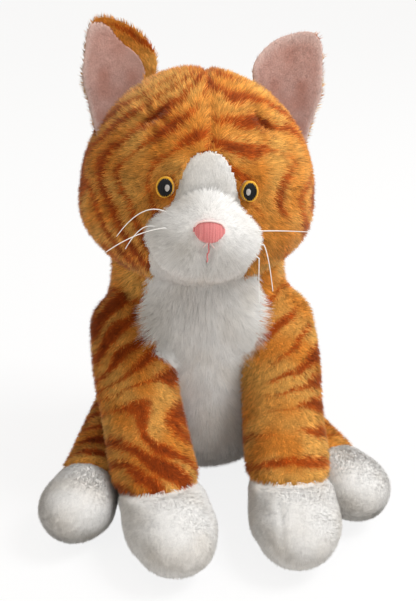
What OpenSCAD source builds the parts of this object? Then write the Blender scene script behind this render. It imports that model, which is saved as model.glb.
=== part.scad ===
// Seated plush cat: stuffed fabric panels, embroidered face and thread whiskers.
// The cat faces -Y, its left side is +X, and the centre of its seat is the origin.

/* [Fabric] */
// Thickness of the plush fabric with its pile
skin_t = 6; // [4:0.5:8]
// Height of the embroidery above the fabric
stitch_t = 1.6; // [1:0.1:3]
// Gap between two pieces that move past each other or lie inside each other
fit_gap = 0.4; // [0.3:0.05:0.8]

/* [Torso] */
// Height of the torso up to the neck
torso_h = 232; // [225:1:240]
// Width across the hips
hip_w = 180; // [165:1:190]
// Width across the chest
chest_w = 148; // [136:1:154]
// Depth of the belly, front to back
belly_d = 162; // [154:1:168]
// Depth of the chest, front to back
chest_d = 112; // [100:1:120]
// Radius of the flat seat panel
seat_r = 44; // [38:1:48]
// Thickness of the seat panel
seat_t = 3; // [2:0.5:4]
// Width of the white chest panel at the throat
bib_w = 112; // [100:1:120]
// Width of the white chest panel between the forelegs
bib_low_w = 74; // [60:1:86]

/* [Neck] */
// Height of the centre that the head nods and turns about
neck_z = 140; // [135:1:145]
// Radius of the round neck that the head rides on
neck_r = 88; // [84:1:90]
// Radius of the plug of stuffing in the neck
plug_r = 36; // [28:1:42]
// Height of the plug of stuffing above the neck
plug_h = 20; // [12:1:28]

/* [Head] */
// Height of the middle of the head
head_z = 265; // [260:1:270]
// Width across the cheeks
head_w = 204; // [196:1:212]
// Depth of the head, front to back
head_d = 176; // [165:1:185]
// Height of the head, chin to crown
head_h = 196; // [190:1:204]
// How far the face looks up, in degrees
head_pitch = 8; // [4:1:12]
// How far the head leans to its left, in degrees
head_lean = 4.5; // [0:0.5:6]
// How far the head is turned to its right, in degrees
head_turn = 2; // [0:1:6]

/* [Face] */
// Width of the muzzle
muzzle_w = 95; // [90:1:100]
// Height of the muzzle
muzzle_h = 68; // [64:1:74]
// Depth of the muzzle, front to back
muzzle_d = 74; // [66:1:80]
// Height of the middle of the muzzle below the middle of the head
muzzle_drop = 29; // [26:1:32]
// Width of the white blaze where it meets the muzzle
blaze_w = 56; // [48:1:62]
// Height of the top of the blaze above the middle of the head
blaze_top = 34; // [28:1:40]
// Distance between the middles of the eyes
eye_span = 66; // [62:1:72]
// Height of the eyes above the middle of the head
eye_rise = 6; // [5:1:10]
// Width of an eye with its iris ring
eye_w = 15; // [13:1:17]
// Width of the iris ring's border
iris_rim = 1.5; // [1.2:0.1:2]
// Diameter of the glint in the pupil
glint_d = 5; // [3.5:0.5:6]
// Width of the nose
nose_w = 26; // [22:1:29]
// Height of the nose
nose_h = 17; // [14:1:20]
// Length of the mouth line
mouth_h = 15; // [11:1:18]
// Width of the mouth line
mouth_w = 3; // [2.5:0.5:4]
// Thickness of a whisker
whisker_d = 1; // [0.8:0.1:1.4]
// Reach of a whisker
whisker_l = 46; // [40:1:54]

/* [Ears] */
// Height of an ear's tip above the middle of the head
ear_top = 135; // [130:1:140]
// Distance of an ear's tip from the middle of the head
ear_tip_x = 88; // [82:1:94]
// Distance of an ear's outer edge from the middle of the head
ear_out_x = 104; // [100:1:108]
// Distance of an ear's inner root from the middle of the head
ear_in_x = 35; // [30:1:40]
// Radius of the ear's tip
ear_tip_r = 13; // [10:1:16]
// Thickness of the furry ear back
ear_back_t = 7; // [5:0.5:9]
// Thickness of the ear lining
ear_lining_t = 3; // [2:0.5:4]
// How far an ear folds each way, in degrees
ear_fold = 14; // [10:1:16]

/* [Forelegs] */
// Distance of a shoulder from the middle plane
shoulder_x = 69; // [66:1:72]
// Height of the shoulder's pivot
shoulder_z = 148; // [145:1:150]
// Width of a foreleg
leg_w = 74; // [68:1:78]
// Thickness of a foreleg, front to back
leg_t = 70; // [64:1:74]
// Width of a forepaw
paw_w = 82; // [78:1:86]
// Height of a forepaw
paw_h = 62; // [58:1:66]
// Length of a forepaw in front of its cuff
paw_l = 98; // [90:1:104]
// Distance of the cuff in front of the shoulder
cuff_reach = 108; // [102:1:114]
// How far the forepaws turn towards each other, in degrees
toe_in = 7; // [5:1:9]
// How much further the right paw turns in, and the left one less
toe_skew = 3; // [0:0.5:4]
// How far a foreleg lifts, in degrees
leg_lift = 30; // [20:1:35]

/* [Hind legs] */
// Distance of a hip from the middle plane
hip_x = 64; // [61:1:67]
// Width of a thigh
thigh_w = 73; // [69:1:78]
// Height of a thigh
thigh_h = 67; // [63:1:72]
// Width of a hind foot
foot_w = 68; // [64:1:72]
// Height of a hind foot
foot_h = 61; // [57:1:65]
// Reach of a hind leg in front of its hip
hind_l = 196; // [190:1:202]
// Length of the white hind foot
foot_l = 70; // [62:1:78]
// How far a hind leg points outwards, in degrees
splay = 19; // [17:1:22]
// How far a hind leg swings further outwards, in degrees
hind_swing = 20; // [12:1:24]

/* [Tail] */
// Length of the tail behind the torso
tail_l = 128; // [110:1:150]
// Thickness of the tail
tail_d = 44; // [38:1:50]
// How far the tail swings each way, in degrees
tail_swing = 25; // [15:1:30]

/* [Hidden] */

tabby = "#c8771f";
white = "#f2efea";
pink = "#e8b4b4";
rose = "#e07a80";
fill = "#e9e6df";
black = "#141414";
gold = "#d9a31a";

far = 600;             // larger than the whole toy
floor_cut = 0.5;       // how deep the resting flat cuts into a round underside
neck_c = [0, -4, neck_z];
head_c = [0, -8, head_z];
shoulder_y = -20;      // pivot of a foreleg, in front of the seat's centre
hip_y = 12;            // pivot of a hind leg
tail_y = 62;           // pivot of the tail
core_gap = skin_t + fit_gap;
inner = 0.55;          // share of the outside's facets that the inside of the fabric has

// A row of a form is [y, z, half width, half thickness in front, half thickness behind].
// Its spine lies in the plane x = 0. Front is to the left of the spine's direction, seen from +X.
torso_rows = [
    [0, -12, hip_w / 2 - 10, belly_d / 2 + 8, belly_d / 2 - 4],
    [2, torso_h * 0.18, hip_w / 2, belly_d / 2 + 6, belly_d / 2 + 4],
    [1, torso_h * 0.42, (hip_w + chest_w) / 4, belly_d / 2 - 8, belly_d / 2],
    [-3, torso_h * 0.66, chest_w / 2 + 3, chest_d / 2 + 2, chest_d / 2 + 8],
    [-6, torso_h * 0.87, chest_w / 2 + 3, chest_d / 2 + 2, chest_d / 2 + 4],
    [-8, torso_h + 14, chest_w / 2 - 14, chest_d / 2 - 10, chest_d / 2 - 10]
];
head_rows = [
    [0, -head_h / 2, head_w / 2 - 16, head_d / 2 - 8, head_d / 2 - 10],
    [0, -head_h / 4, head_w / 2 + 4, head_d / 2, head_d / 2],
    [0, 0, head_w / 2, head_d / 2, head_d / 2 + 2],
    [0, head_h / 4, head_w / 2 - 5, head_d / 2 - 1, head_d / 2],
    [0, head_h / 2, head_w / 2 - 6, head_d / 2 - 4, head_d / 2]
];
muzzle_y = -head_d / 2 + 9;
muzzle_rows = [
    [muzzle_y + 6, -muzzle_drop - muzzle_h / 2, muzzle_w / 2 - 6, muzzle_d / 2 - 4, muzzle_d / 2],
    [muzzle_y, -muzzle_drop - muzzle_h / 4, muzzle_w / 2 + 2, muzzle_d / 2, muzzle_d / 2],
    [muzzle_y, -muzzle_drop, muzzle_w / 2 - 1, muzzle_d / 2 + 1, muzzle_d / 2],
    [muzzle_y + 3, -muzzle_drop + muzzle_h / 4, muzzle_w / 2 - 12, muzzle_d / 2 - 2, muzzle_d / 2],
    [muzzle_y + 12, -muzzle_drop + muzzle_h / 2, muzzle_w / 2 - 20, muzzle_d / 2 - 8, muzzle_d / 2]
];
paw_z = paw_h / 2 - floor_cut;
cuff_y = shoulder_y - cuff_reach;
leg_rows = [
    [cuff_y - paw_l, paw_z - 2, paw_w / 2 - 2, paw_h / 2 - 2, paw_h / 2 - 2],
    [cuff_y - paw_l * 0.62, paw_z, paw_w / 2, paw_h / 2, paw_h / 2],
    [cuff_y - 8, paw_z + 15, leg_w / 2, leg_t / 2, leg_t / 2 + 3],
    [cuff_y + cuff_reach * 0.38, shoulder_z * 0.55, leg_w / 2, leg_t / 2, leg_t / 2],
    [cuff_y + cuff_reach * 0.7, shoulder_z * 0.82, leg_w / 2, leg_t / 2, leg_t / 2],
    [shoulder_y - 8, shoulder_z, leg_w / 2 - 5, leg_t / 2 - 2, leg_t / 2 - 2],
    [shoulder_y + 2, shoulder_z + 30, leg_w / 2 - 14, leg_t / 2 - 6, leg_t / 2 - 4]
];
foot_z = foot_h / 2 - floor_cut;
thigh_z = thigh_h / 2 - floor_cut;
ankle_y = -hind_l + foot_l;
hind_rows = [
    [-hind_l, foot_z + 3, foot_w / 2 - 2, foot_h / 2 - 2, foot_h / 2 - 4],
    [-hind_l + foot_l * 0.45, foot_z, foot_w / 2, foot_h / 2, foot_h / 2],
    [ankle_y, foot_z, foot_w / 2 - 4, foot_h / 2 - 3, foot_h / 2],
    [ankle_y * 0.5, thigh_z - 4, thigh_w / 2 - 3, thigh_h / 2 - 4, thigh_h / 2 - 4],
    [0, thigh_z, thigh_w / 2, thigh_h / 2, thigh_h / 2],
    [26, thigh_z, thigh_w / 2 - 6, thigh_h / 2 - 4, thigh_h / 2 - 4]
];
tail_z = tail_d / 2 - floor_cut;
tail_rows = [
    [tail_y + 12 + tail_l, tail_z + 12, tail_d / 2 - 3, tail_d / 2 - 3, tail_d / 2 - 3],
    [tail_y + 12 + tail_l * 0.6, tail_z, tail_d / 2, tail_d / 2, tail_d / 2],
    [tail_y + 12 + tail_l * 0.2, tail_z + 4, tail_d / 2, tail_d / 2, tail_d / 2],
    [tail_y - 8, tail_z + 16, tail_d / 2 - 1, tail_d / 2, tail_d / 2],
    [tail_y - 32, tail_z + 20, tail_d / 2 - 2, tail_d / 2 - 2, tail_d / 2 - 2]
];

// A form is [rows, share of its length rounded at the start, and at the end, rings, sides].
torso_form = [torso_rows, 0.22, 0.2, 13, 22];
head_form = [head_rows, 0.5, 0.5, 15, 24];
muzzle_form = [muzzle_rows, 0.5, 0.5, 11, 18];
leg_form = [leg_rows, 0.2, 0.14, 14, 16];
hind_form = [hind_rows, 0.24, 0.16, 11, 16];
tail_form = [tail_rows, 0.2, 0.12, 9, 12];

// Value of a smooth curve through a list of rows, with u from 0 to 1
function along(rows, u) =
    let (n = len(rows) - 1, i = max(0, min(floor(u * n), n - 1)), f = u * n - i,
         b = rows[i], c = rows[i + 1],
         a = i > 0 ? rows[i - 1] : 2 * b - c, d = i < n - 1 ? rows[i + 2] : 2 * c - b)
    b + f / 2 * (c - a + f * (2 * a - 5 * b + 4 * c - d + f * (3 * (b - c) + d - a)));

// Length of a form's spine
function spine_length(rows) =
    let (steps = [for (i = [0 : len(rows) - 2])
        norm([rows[i + 1][0] - rows[i][0], rows[i + 1][1] - rows[i][1]])])
    steps * [for (s = steps) 1];

// Share of its full girth that a form has at v, from 0 at a tip to 1
function rounded(v, start, end) =
    v < start ? sqrt(1 - pow(1 - v / start, 2))
    : v > 1 - end ? sqrt(max(0, 1 - pow(1 - (1 - v) / end, 2)))
    : 1;

// Point of a form at the share v of its length, and at the angle t round it, sunk by inset.
// Angle 0 is +X and 90 is the front.
function form_point(form, v, t, inset = 0) =
    let (rows = form[0], d = inset / spine_length(rows), u = d + v * (1 - 2 * d),
         row = along(rows, u),
         ahead = along(rows, min(u + 0.02, 1)), back = along(rows, max(u - 0.02, 0)),
         way = [ahead[0] - back[0], ahead[1] - back[1]], dir = way / norm(way),
         girth = rounded(v, form[1], form[2]),
         half = (sin(t) > 0 ? row[3] : row[4]) - inset, out = girth * half * sin(t))
    [girth * (row[2] - inset) * cos(t), row[0] - dir[1] * out, row[1] + dir[0] * out];

// Height of a form's lowest point
function lowest(form) = min([for (k = [1 : form[3] - 1]) for (j = [0 : form[4] - 1])
    form_point(form, (1 - cos(180 * k / form[3])) / 2, 360 * j / form[4])[2]]);

// Stands a form on the floor, where it is cut flat
module stood(form) translate([0, 0, -lowest(form) - floor_cut]) children();

// Closed, smoothly swelling solid of a form, sunk by inset
module swell(form, inset = 0, coarse = 1) {
    rings = max(6, round(form[3] * coarse));
    sides = max(8, 2 * round(form[4] * coarse / 2));
    share = [for (k = [0 : rings]) (1 - cos(180 * k / rings)) / 2];
    tips = [for (v = [0, 1]) form_point(form, v, 0, inset)];
    wall = [for (k = [1 : rings - 1]) for (j = [0 : sides - 1])
        form_point(form, share[k], 360 * j / sides, inset)];
    first = 2;
    last = 2 + (rings - 2) * sides;
    polyhedron(concat(tips, wall), concat(
        [for (j = [0 : sides - 1]) [0, first + (j + 1) % sides, first + j]],
        [for (j = [0 : sides - 1]) [1, last + j, last + (j + 1) % sides]],
        [for (k = [0 : rings - 3]) for (j = [0 : sides - 1])
            let (a = first + k * sides + j, b = first + k * sides + (j + 1) % sides)
            each [[a, b, a + sides], [b, b + sides, a + sides]]]
    ));
}

// Fabric of a form: its solid without the space for the stuffing
module skin(form) difference() {
    swell(form);
    swell(form, skin_t, inner);
}

// Stuffing of a form
module core(form) swell(form, core_gap, inner);

// Keeps a cut between free-form solids as one closed mesh
module one_mesh() resize([0, 0, 0]) children();

// The children turned about an axis through a pivot, at each angle
module turned(pivot, axis, angles) for (a = angles)
    translate(pivot) rotate(a, axis) translate(-pivot) children();

// Everything below a height
module below(z) translate([-far / 2, -far / 2, z - far]) cube(far);

// Everything on the +X side of the middle plane, or on the other side
module half_space(side) translate([side > 0 ? 0 : -far, -far / 2, -far / 2]) cube(far);

module left_or_right(side) mirror([side > 0 ? 0 : 1, 0, 0]) children();

module ball(c, r) translate(c) sphere(r, $fn = 44);

// Torso

// Keeps the part of the torso that the head can ride on
module under_neck(gap = 0) intersection() {
    children();
    union() {
        below(neck_z);
        ball(neck_c, neck_r - gap);
    }
}

module torso_solid(grow = 0) under_neck(-grow) difference() {
    swell(torso_form, -grow);
    below(seat_t - grow);
}

module bib(grow = 0) translate([0, 0, 0]) rotate([90, 0, 0]) linear_extrude(far)
    offset(grow) polygon([
        [-bib_low_w / 2, -20], [-bib_low_w / 2, shoulder_z * 0.5], [-bib_w / 2, shoulder_z + 18],
        [-bib_w / 2 + 12, torso_h + 20], [bib_w / 2 - 12, torso_h + 20],
        [bib_w / 2, shoulder_z + 18], [bib_low_w / 2, shoulder_z * 0.5], [bib_low_w / 2, -20]
    ]);

module torso_skin() difference() {
    under_neck() skin(torso_form);
    below(seat_t);
}

module torso_panel(side) color(tabby) one_mesh() difference() {
    intersection() {
        torso_skin();
        half_space(side);
    }
    bib();
}

module chest_panel() color(white) one_mesh() intersection() {
    torso_skin();
    bib();
}

module seat_panel() color(tabby) cylinder(h = seat_t, r = seat_r);

module torso_stuffing() color(fill) one_mesh() under_neck(fit_gap) difference() {
    core(torso_form);
    below(seat_t + fit_gap);
}

// Neck and head

// Places the head's own frame, which has its middle at the origin
module on_neck() translate(head_c) rotate([-head_pitch, head_lean, -head_turn]) children();

module neck_space(gap) translate(neck_c)
    cylinder(h = neck_r + plug_h + gap, r = plug_r + gap);

// Room that the round neck and its plug need under the head
module clear_of_neck(plug = false) difference() {
    children();
    ball(neck_c, neck_r + 2 * fit_gap);
    if (plug) neck_space(fit_gap);
}

module neck_stuffing() color(fill) translate(neck_c) difference() {
    cylinder(h = neck_r + plug_h, r = plug_r);
    sphere(neck_r + 2 * fit_gap);
}

module blaze_shape() rotate([90, 0, 0]) linear_extrude(far) hull() {
    translate([0, blaze_top - blaze_w * 0.24]) circle(blaze_w * 0.24, $fn = 24);
    translate([-blaze_w / 2, -muzzle_drop]) square([blaze_w, 1]);
}

module head_panel(side) color(tabby) one_mesh() clear_of_neck(true) on_neck() difference() {
    intersection() {
        skin(head_form);
        half_space(side);
    }
    blaze_shape();
}

module blaze_panel() color(white) one_mesh() on_neck() difference() {
    intersection() {
        skin(head_form);
        blaze_shape();
    }
    swell(muzzle_form, skin_t + 2 * fit_gap);
}

module head_stuffing() color(fill) one_mesh() clear_of_neck(true) on_neck() core(head_form);

module muzzle_panel() color(white) one_mesh() clear_of_neck() on_neck() difference() {
    skin(muzzle_form);
    swell(head_form);
}

module muzzle_stuffing() color(fill) one_mesh() on_neck() difference() {
    core(muzzle_form);
    swell(head_form, -fit_gap);
}

// Embroidery: patches that lie on the outside of a form, in the shape of their outline

module stitched(form, height) intersection() {
    difference() {
        swell(form, -height);
        swell(form);
    }
    translate([0, form[0][2][0], 0]) rotate([90, 0, 0]) linear_extrude(far) children();
}

module oval(w, h) scale([w, h]) circle(d = 1, $fn = 28);

eye_h = eye_w * 1.12;
pupil_w = eye_w - 2 * iris_rim;
pupil_h = eye_h - 2 * iris_rim;

module eye_patch(side, height) on_neck() stitched(head_form, height)
    translate([side * eye_span / 2, eye_rise]) children();

module iris(side) color(gold) one_mesh() eye_patch(side, stitch_t) difference() {
    oval(eye_w, eye_h);
    oval(pupil_w, pupil_h);
}

module glint_shape(side) translate([-side * pupil_w * 0.16, 0]) oval(glint_d, glint_d * 1.1);

module pupil(side) color(black) one_mesh() eye_patch(side, stitch_t) difference() {
    oval(pupil_w, pupil_h);
    glint_shape(side);
}

module glint(side) color(white) one_mesh() eye_patch(side, stitch_t) glint_shape(side);

nose_z = -muzzle_drop + muzzle_h * 0.15;

module nose_embroidery() color(rose) one_mesh() on_neck() stitched(muzzle_form, 2 * stitch_t)
    translate([0, nose_z]) hull() {
        translate([0, nose_h * 0.2]) oval(nose_w, nose_h * 0.6);
        translate([0, -nose_h * 0.36]) circle(nose_h * 0.14, $fn = 16);
    }

module mouth_embroidery() color(rose) one_mesh() on_neck() stitched(muzzle_form, stitch_t)
    translate([-mouth_w / 2, nose_z - nose_h * 0.5 - mouth_h - fit_gap]) square([mouth_w, mouth_h]);

// Whiskers: threads that leave the muzzle and bend down

// Each is [ring of the muzzle that it is sewn to, facets from the front, reach, rise, droop],
// the last three as shares of a whisker's reach.
right_whisker_rows = [[7, 3.5, 0.8, 0.3, 0.75], [6, 3.5, 0.45, 0.05, 0.45], [6, 2.5, 0.95, -0.2, 0.25]];
left_whisker_rows = [[6, 3.5, 0.85, 0.03, 0], [5, 3.5, 0.22, -0.3, 0.5], [4, 3.5, 0.05, -0.42, 0.35]];
whisker_steps = 8;
whisker_sides = 6;
whisker_gap = 0.15;

function whisker_path(w, side) =
    let (root = form_point(muzzle_form, (1 - cos(180 * w[0] / muzzle_form[3])) / 2,
            90 - side * w[1] * 360 / muzzle_form[4], -whisker_d / 2 - whisker_gap))
    [for (k = [0 : whisker_steps]) let (f = k / whisker_steps)
        root + whisker_l * [side * w[2] * f, 0.16 * f - 0.2 * f * f, w[3] * f - w[4] * f * f]];

module thread(path) {
    n = len(path) - 1;
    rings = [for (k = [0 : n]) let (p = path[max(k - 1, 0)], q = path[min(k + 1, n)],
            way = (q - p) / norm(q - p), u = cross(way, [0, 1, 0]) / norm(cross(way, [0, 1, 0])))
        for (j = [0 : whisker_sides - 1])
            path[k] + whisker_d / 2 * (cos(360 * j / whisker_sides) * u
                + sin(360 * j / whisker_sides) * cross(u, way))];
    polyhedron(rings, concat(
        [for (j = [1 : whisker_sides - 2]) [0, j + 1, j]],
        [for (j = [1 : whisker_sides - 2])
            [n * whisker_sides, n * whisker_sides + j, n * whisker_sides + j + 1]],
        [for (k = [0 : n - 1]) for (j = [0 : whisker_sides - 1])
            let (a = k * whisker_sides + j, b = k * whisker_sides + (j + 1) % whisker_sides)
            each [[a, b, a + whisker_sides], [b, b + whisker_sides, a + whisker_sides]]]
    ));
}

module whiskers(side) color("white") on_neck()
    for (w = side > 0 ? left_whisker_rows : right_whisker_rows) thread(whisker_path(w, side));

// Ears: cupped sheets, open to the front, that fold about their roots

ear_root = [(ear_in_x + ear_out_x) / 2, 8, head_h * 0.34];
ear_way = [ear_out_x - 8 - ear_in_x, 0, -head_h * 0.24];
ear_cup_r = 120;
ear_room = 60;          // how far the ear's outline reaches to the front and to the back
ear_cup_c = [ear_root[0] + 6, ear_root[1] - ear_cup_r, head_h * 0.5];

module ear_outline(inset = 0) offset(-inset) hull() {
    translate([ear_tip_x, ear_top - ear_tip_r]) circle(ear_tip_r, $fn = 32);
    translate([ear_out_x - 14, head_h * 0.42]) circle(14, $fn = 32);
    translate([ear_out_x - 30, 0]) circle(14, $fn = 32);
    translate([ear_in_x + 30, head_h * 0.16]) circle(14, $fn = 32);
    translate([ear_in_x + 16, head_h * 0.5]) circle(14, $fn = 32);
    translate([ear_tip_x - 26, ear_top - ear_tip_r - 8]) circle(12, $fn = 32);
}

module ear_sheet(side, near, thick, inset) left_or_right(side) intersection() {
    translate([0, ear_root[1] + ear_room, 0]) rotate([90, 0, 0])
        linear_extrude(2 * ear_room) ear_outline(inset);
    difference() {
        ball(ear_cup_c, ear_cup_r + near + thick);
        ball(ear_cup_c, ear_cup_r + near);
    }
}

function ear_axis(side) = [side * ear_way[0], ear_way[1], ear_way[2]];
function ear_pivot(side) = [side * ear_root[0], ear_root[1], ear_root[2]];

module folding_ear(side) one_mesh() on_neck() difference() {
    children();
    turned(ear_pivot(side), ear_axis(side), [-ear_fold, -ear_fold / 2, 0, ear_fold / 2, ear_fold])
        swell(head_form, -2 * fit_gap);
}

module ear_back(side) color(tabby) folding_ear(side) ear_sheet(side, 0, ear_back_t, 0);

module ear_lining(side) color(pink) folding_ear(side)
    ear_sheet(side, -ear_lining_t, ear_lining_t, ear_back_t / 2);

// Forelegs

lift_steps = [0 : 5 : leg_lift];

module at_shoulder(side) left_or_right(side) translate([shoulder_x, shoulder_y, 0])
    rotate([0, 0, side * toe_skew - toe_in]) translate([0, -shoulder_y, 0]) stood(leg_form) children();

// Everything in front of the cuff's seam
module before_cuff() translate([-far / 2, cuff_y, paw_z + 12]) rotate([66, 0, 0])
    translate([0, -far, -far / 2]) cube(far);

module foreleg_part(side) one_mesh() difference() {
    at_shoulder(side) children();
    turned([0, shoulder_y, shoulder_z], [1, 0, 0], lift_steps) torso_solid(2 * fit_gap);
    below(0);
}

module foreleg_sleeve(side) color(tabby) foreleg_part(side) difference() {
    skin(leg_form);
    before_cuff();
}

module forepaw(side) color(white) foreleg_part(side) intersection() {
    skin(leg_form);
    before_cuff();
}

module foreleg_stuffing(side) color(fill) foreleg_part(side) core(leg_form);

// Hind legs

swing_steps = [0 : 5 : hind_swing];

module at_hip(side) left_or_right(side) translate([hip_x, hip_y, 0])
    rotate([0, 0, splay]) stood(hind_form) children();

module before_ankle() translate([-far / 2, ankle_y - far, -far / 2]) cube(far);

module hind_part(side) one_mesh() difference() {
    at_hip(side) children();
    turned([0, shoulder_y, shoulder_z], [-1, 0, 0], lift_steps)
        at_shoulder(side) swell(leg_form, -2 * fit_gap);
    turned([side * hip_x, hip_y, 0], [0, 0, -side], swing_steps) torso_solid(2 * fit_gap);
    below(0);
}

module thigh(side) color(tabby) hind_part(side) difference() {
    skin(hind_form);
    before_ankle();
}

module hind_foot(side) color(white) hind_part(side) intersection() {
    skin(hind_form);
    before_ankle();
}

module hind_stuffing(side) color(fill) hind_part(side) core(hind_form);

// Tail

module tail_part() one_mesh() difference() {
    stood(tail_form) children();
    turned([0, tail_y, 0], [0, 0, 1], [-tail_swing, 0, tail_swing]) torso_solid(fit_gap);
    below(0);
}

module tail_sleeve() color(tabby) tail_part() skin(tail_form);

module tail_stuffing() color(fill) tail_part() core(tail_form);

torso_panel(1);  // torso_left_panel
torso_panel(-1);  // torso_right_panel
chest_panel();
seat_panel();
torso_stuffing();
neck_stuffing();
head_panel(1);  // head_left_panel
head_panel(-1);  // head_right_panel
blaze_panel();
head_stuffing();
muzzle_panel();
muzzle_stuffing();
nose_embroidery();
mouth_embroidery();
iris(1);  // left_iris
pupil(1);  // left_pupil
glint(1);  // left_glint
iris(-1);  // right_iris
pupil(-1);  // right_pupil
glint(-1);  // right_glint
whiskers(1);  // left_whiskers
whiskers(-1);  // right_whiskers
ear_back(1);  // left_ear_back
ear_lining(1);  // left_ear_lining
ear_back(-1);  // right_ear_back
ear_lining(-1);  // right_ear_lining
foreleg_sleeve(1);  // left_foreleg_sleeve
forepaw(1);  // left_forepaw
foreleg_stuffing(1);  // left_foreleg_stuffing
foreleg_sleeve(-1);  // right_foreleg_sleeve
forepaw(-1);  // right_forepaw
foreleg_stuffing(-1);  // right_foreleg_stuffing
thigh(1);  // left_thigh
hind_foot(1);  // left_hind_foot
hind_stuffing(1);  // left_hind_stuffing
thigh(-1);  // right_thigh
hind_foot(-1);  // right_hind_foot
hind_stuffing(-1);  // right_hind_stuffing
tail_sleeve();
tail_stuffing();
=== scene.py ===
import math
import bpy
import numpy as np
from mathutils import Matrix


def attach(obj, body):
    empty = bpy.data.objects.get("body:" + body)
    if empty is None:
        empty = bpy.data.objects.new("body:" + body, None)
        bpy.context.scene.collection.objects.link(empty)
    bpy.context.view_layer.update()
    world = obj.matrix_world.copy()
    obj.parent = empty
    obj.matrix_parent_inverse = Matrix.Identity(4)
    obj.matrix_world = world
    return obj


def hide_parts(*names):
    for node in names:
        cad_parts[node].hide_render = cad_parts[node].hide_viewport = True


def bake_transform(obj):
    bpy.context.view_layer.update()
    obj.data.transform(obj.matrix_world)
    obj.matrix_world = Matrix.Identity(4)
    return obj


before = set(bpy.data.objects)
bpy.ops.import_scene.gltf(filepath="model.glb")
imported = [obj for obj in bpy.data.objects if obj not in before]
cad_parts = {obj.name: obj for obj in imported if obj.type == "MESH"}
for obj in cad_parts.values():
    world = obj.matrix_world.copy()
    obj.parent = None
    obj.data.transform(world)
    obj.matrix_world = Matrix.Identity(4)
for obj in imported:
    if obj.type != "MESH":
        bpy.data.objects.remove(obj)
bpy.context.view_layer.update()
scene = bpy.context.scene


# Sizes in millimetres and angles in degrees, as in the part's source

torso_h = 232
hip_w = 180
chest_w = 148
belly_d = 162
chest_d = 112
seat_r = 44
head_w = 204
head_d = 176
head_h = 196
head_pitch = 8
head_lean = 4.5
head_turn = 2
head_c = np.array([0.0, -8.0, 265.0])
muzzle_w = 95
muzzle_h = 68
muzzle_d = 74
muzzle_drop = 29
blaze_top = 34
eye_x = 33
eye_z = 6
eye_w = 15
nose_w = 26
nose_h = 17
nose_z = -muzzle_drop + muzzle_h * 0.15
mouth_h = 15
whisker_l = 46
shoulder = np.array([69.0, -20.0, 148.0])
leg_w = 74
leg_t = 70
paw_w = 82
paw_h = 62
paw_l = 98
cuff_reach = 108
cuff_tilt = 66
toe_in = 7
toe_skew = 3
hip = np.array([64.0, 12.0, 0.0])
thigh_w = 73
thigh_h = 67
foot_w = 68
foot_h = 61
hind_l = 196
foot_l = 70
splay = 19
tail_l = 128
tail_r = 22
tail_y = 62
tail_c = np.array([0.0, tail_y, 30.0])

# How far the joints move
foreleg_lift = 30
hind_swing = 20
tail_swing = 25

# Sizes of the soft parts
skin_in = 6.2         # how far a skin lies under the outside of its pile, before it is stuffed
swell_by = 2.6        # how far the stuffing may push it out
seam_hold = 4         # half the width of the strip that a seam holds back
crease_x, crease_z, crease_slope = 43, 56, 0.8    # crease above an eye


# Small tools

def smooth(a, b, x):
    t = np.clip((x - a) / (b - a), 0.0, 1.0)
    return t * t * (3.0 - 2.0 * t)


def hill(*pairs):
    """1 where every distance is 0, and near 0 from twice its half width. Pairs of those two."""
    total = 0.0
    for distance, half in pairs:
        total = total + (distance / half) ** 2
    return np.exp(-total)


def between(a, b, t):
    return a + (b - a) * t


def mix(a, b, t):
    """Colours between a and b, one for each t."""
    return between(a, b, np.asarray(t)[..., None])


def lin(r, g, b):
    c = np.array([r, g, b]) / 255.0
    return np.where(c <= 0.04045, c / 12.92, ((c + 0.055) / 1.055) ** 2.4)


def unit(v):
    return v / np.maximum(np.linalg.norm(v, axis=-1, keepdims=True), 1e-9)


def each(value, p):
    """A value for each point: a function of the points, or one number or direction for all."""
    if callable(value):
        return value(p)
    return np.tile(np.asarray(value, float), (len(p),) + (1,) * np.ndim(value))


def ways(x, y, z):
    return np.stack(np.broadcast_arrays(x, y, z), -1)


def everywhere(p):
    return np.ones(len(p), bool)


# Large odd numbers that scatter the cells of a lattice
SCATTER = np.array([374761393, 668265263, 1440662683])
LOW_BITS = 0xFFFFFFFF


def lattice(i, seed):
    """Random number from 0 to 1 for each cell."""
    h = ((i * SCATTER).sum(axis=-1) + seed * 974634777) & LOW_BITS
    h = ((h ^ (h >> 13)) * 1274126177) & LOW_BITS
    h = ((h ^ (h >> 15)) * 668265263) & LOW_BITS
    return ((h ^ (h >> 16)) & 0xFFFFFF) / float(0xFFFFFF)


def noise(p, size, seed):
    """Smooth noise from -1 to 1 with waves of about that size."""
    q = p / size
    i = np.floor(q).astype(np.int64)
    f = q - i
    f = f * f * (3.0 - 2.0 * f)
    out = 0.0
    for c in np.ndindex(2, 2, 2):
        w = np.prod(np.where(np.array(c) == 1, f, 1.0 - f), axis=-1)
        out = out + w * lattice(i + np.array(c), seed)
    return out * 2.0 - 1.0


def turn(axis, degrees):
    a = math.radians(degrees)
    c, s = math.cos(a), math.sin(a)
    return np.array({"x": [[1, 0, 0], [0, c, -s], [0, s, c]],
                     "y": [[c, 0, s], [0, 1, 0], [-s, 0, c]],
                     "z": [[c, -s, 0], [s, c, 0], [0, 0, 1]]}[axis], float)


def about(p, pivot, axis, degrees):
    """Points turned back by a joint's angle, to test them against a form at rest."""
    return (p - pivot) @ turn(axis, degrees) + pivot


def steps(o, n):
    """Each point of a ring of n that starts at point o, with the point after it."""
    return [(o + k, o + (k + 1) % n) for k in range(n)]


def band(o, n, flip=False):
    """Quads between the ring of n points that starts at point o and the ring after it."""
    if flip:
        return [[a, a + n, b + n, b] for a, b in steps(o, n)]
    return [[a, b, b + n, a + n] for a, b in steps(o, n)]


def fan(tip, o, n, flip=False):
    """Triangles between a tip and the ring of n points that starts at point o."""
    return [[tip, b, a] if flip else [tip, a, b] for a, b in steps(o, n)]


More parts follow.
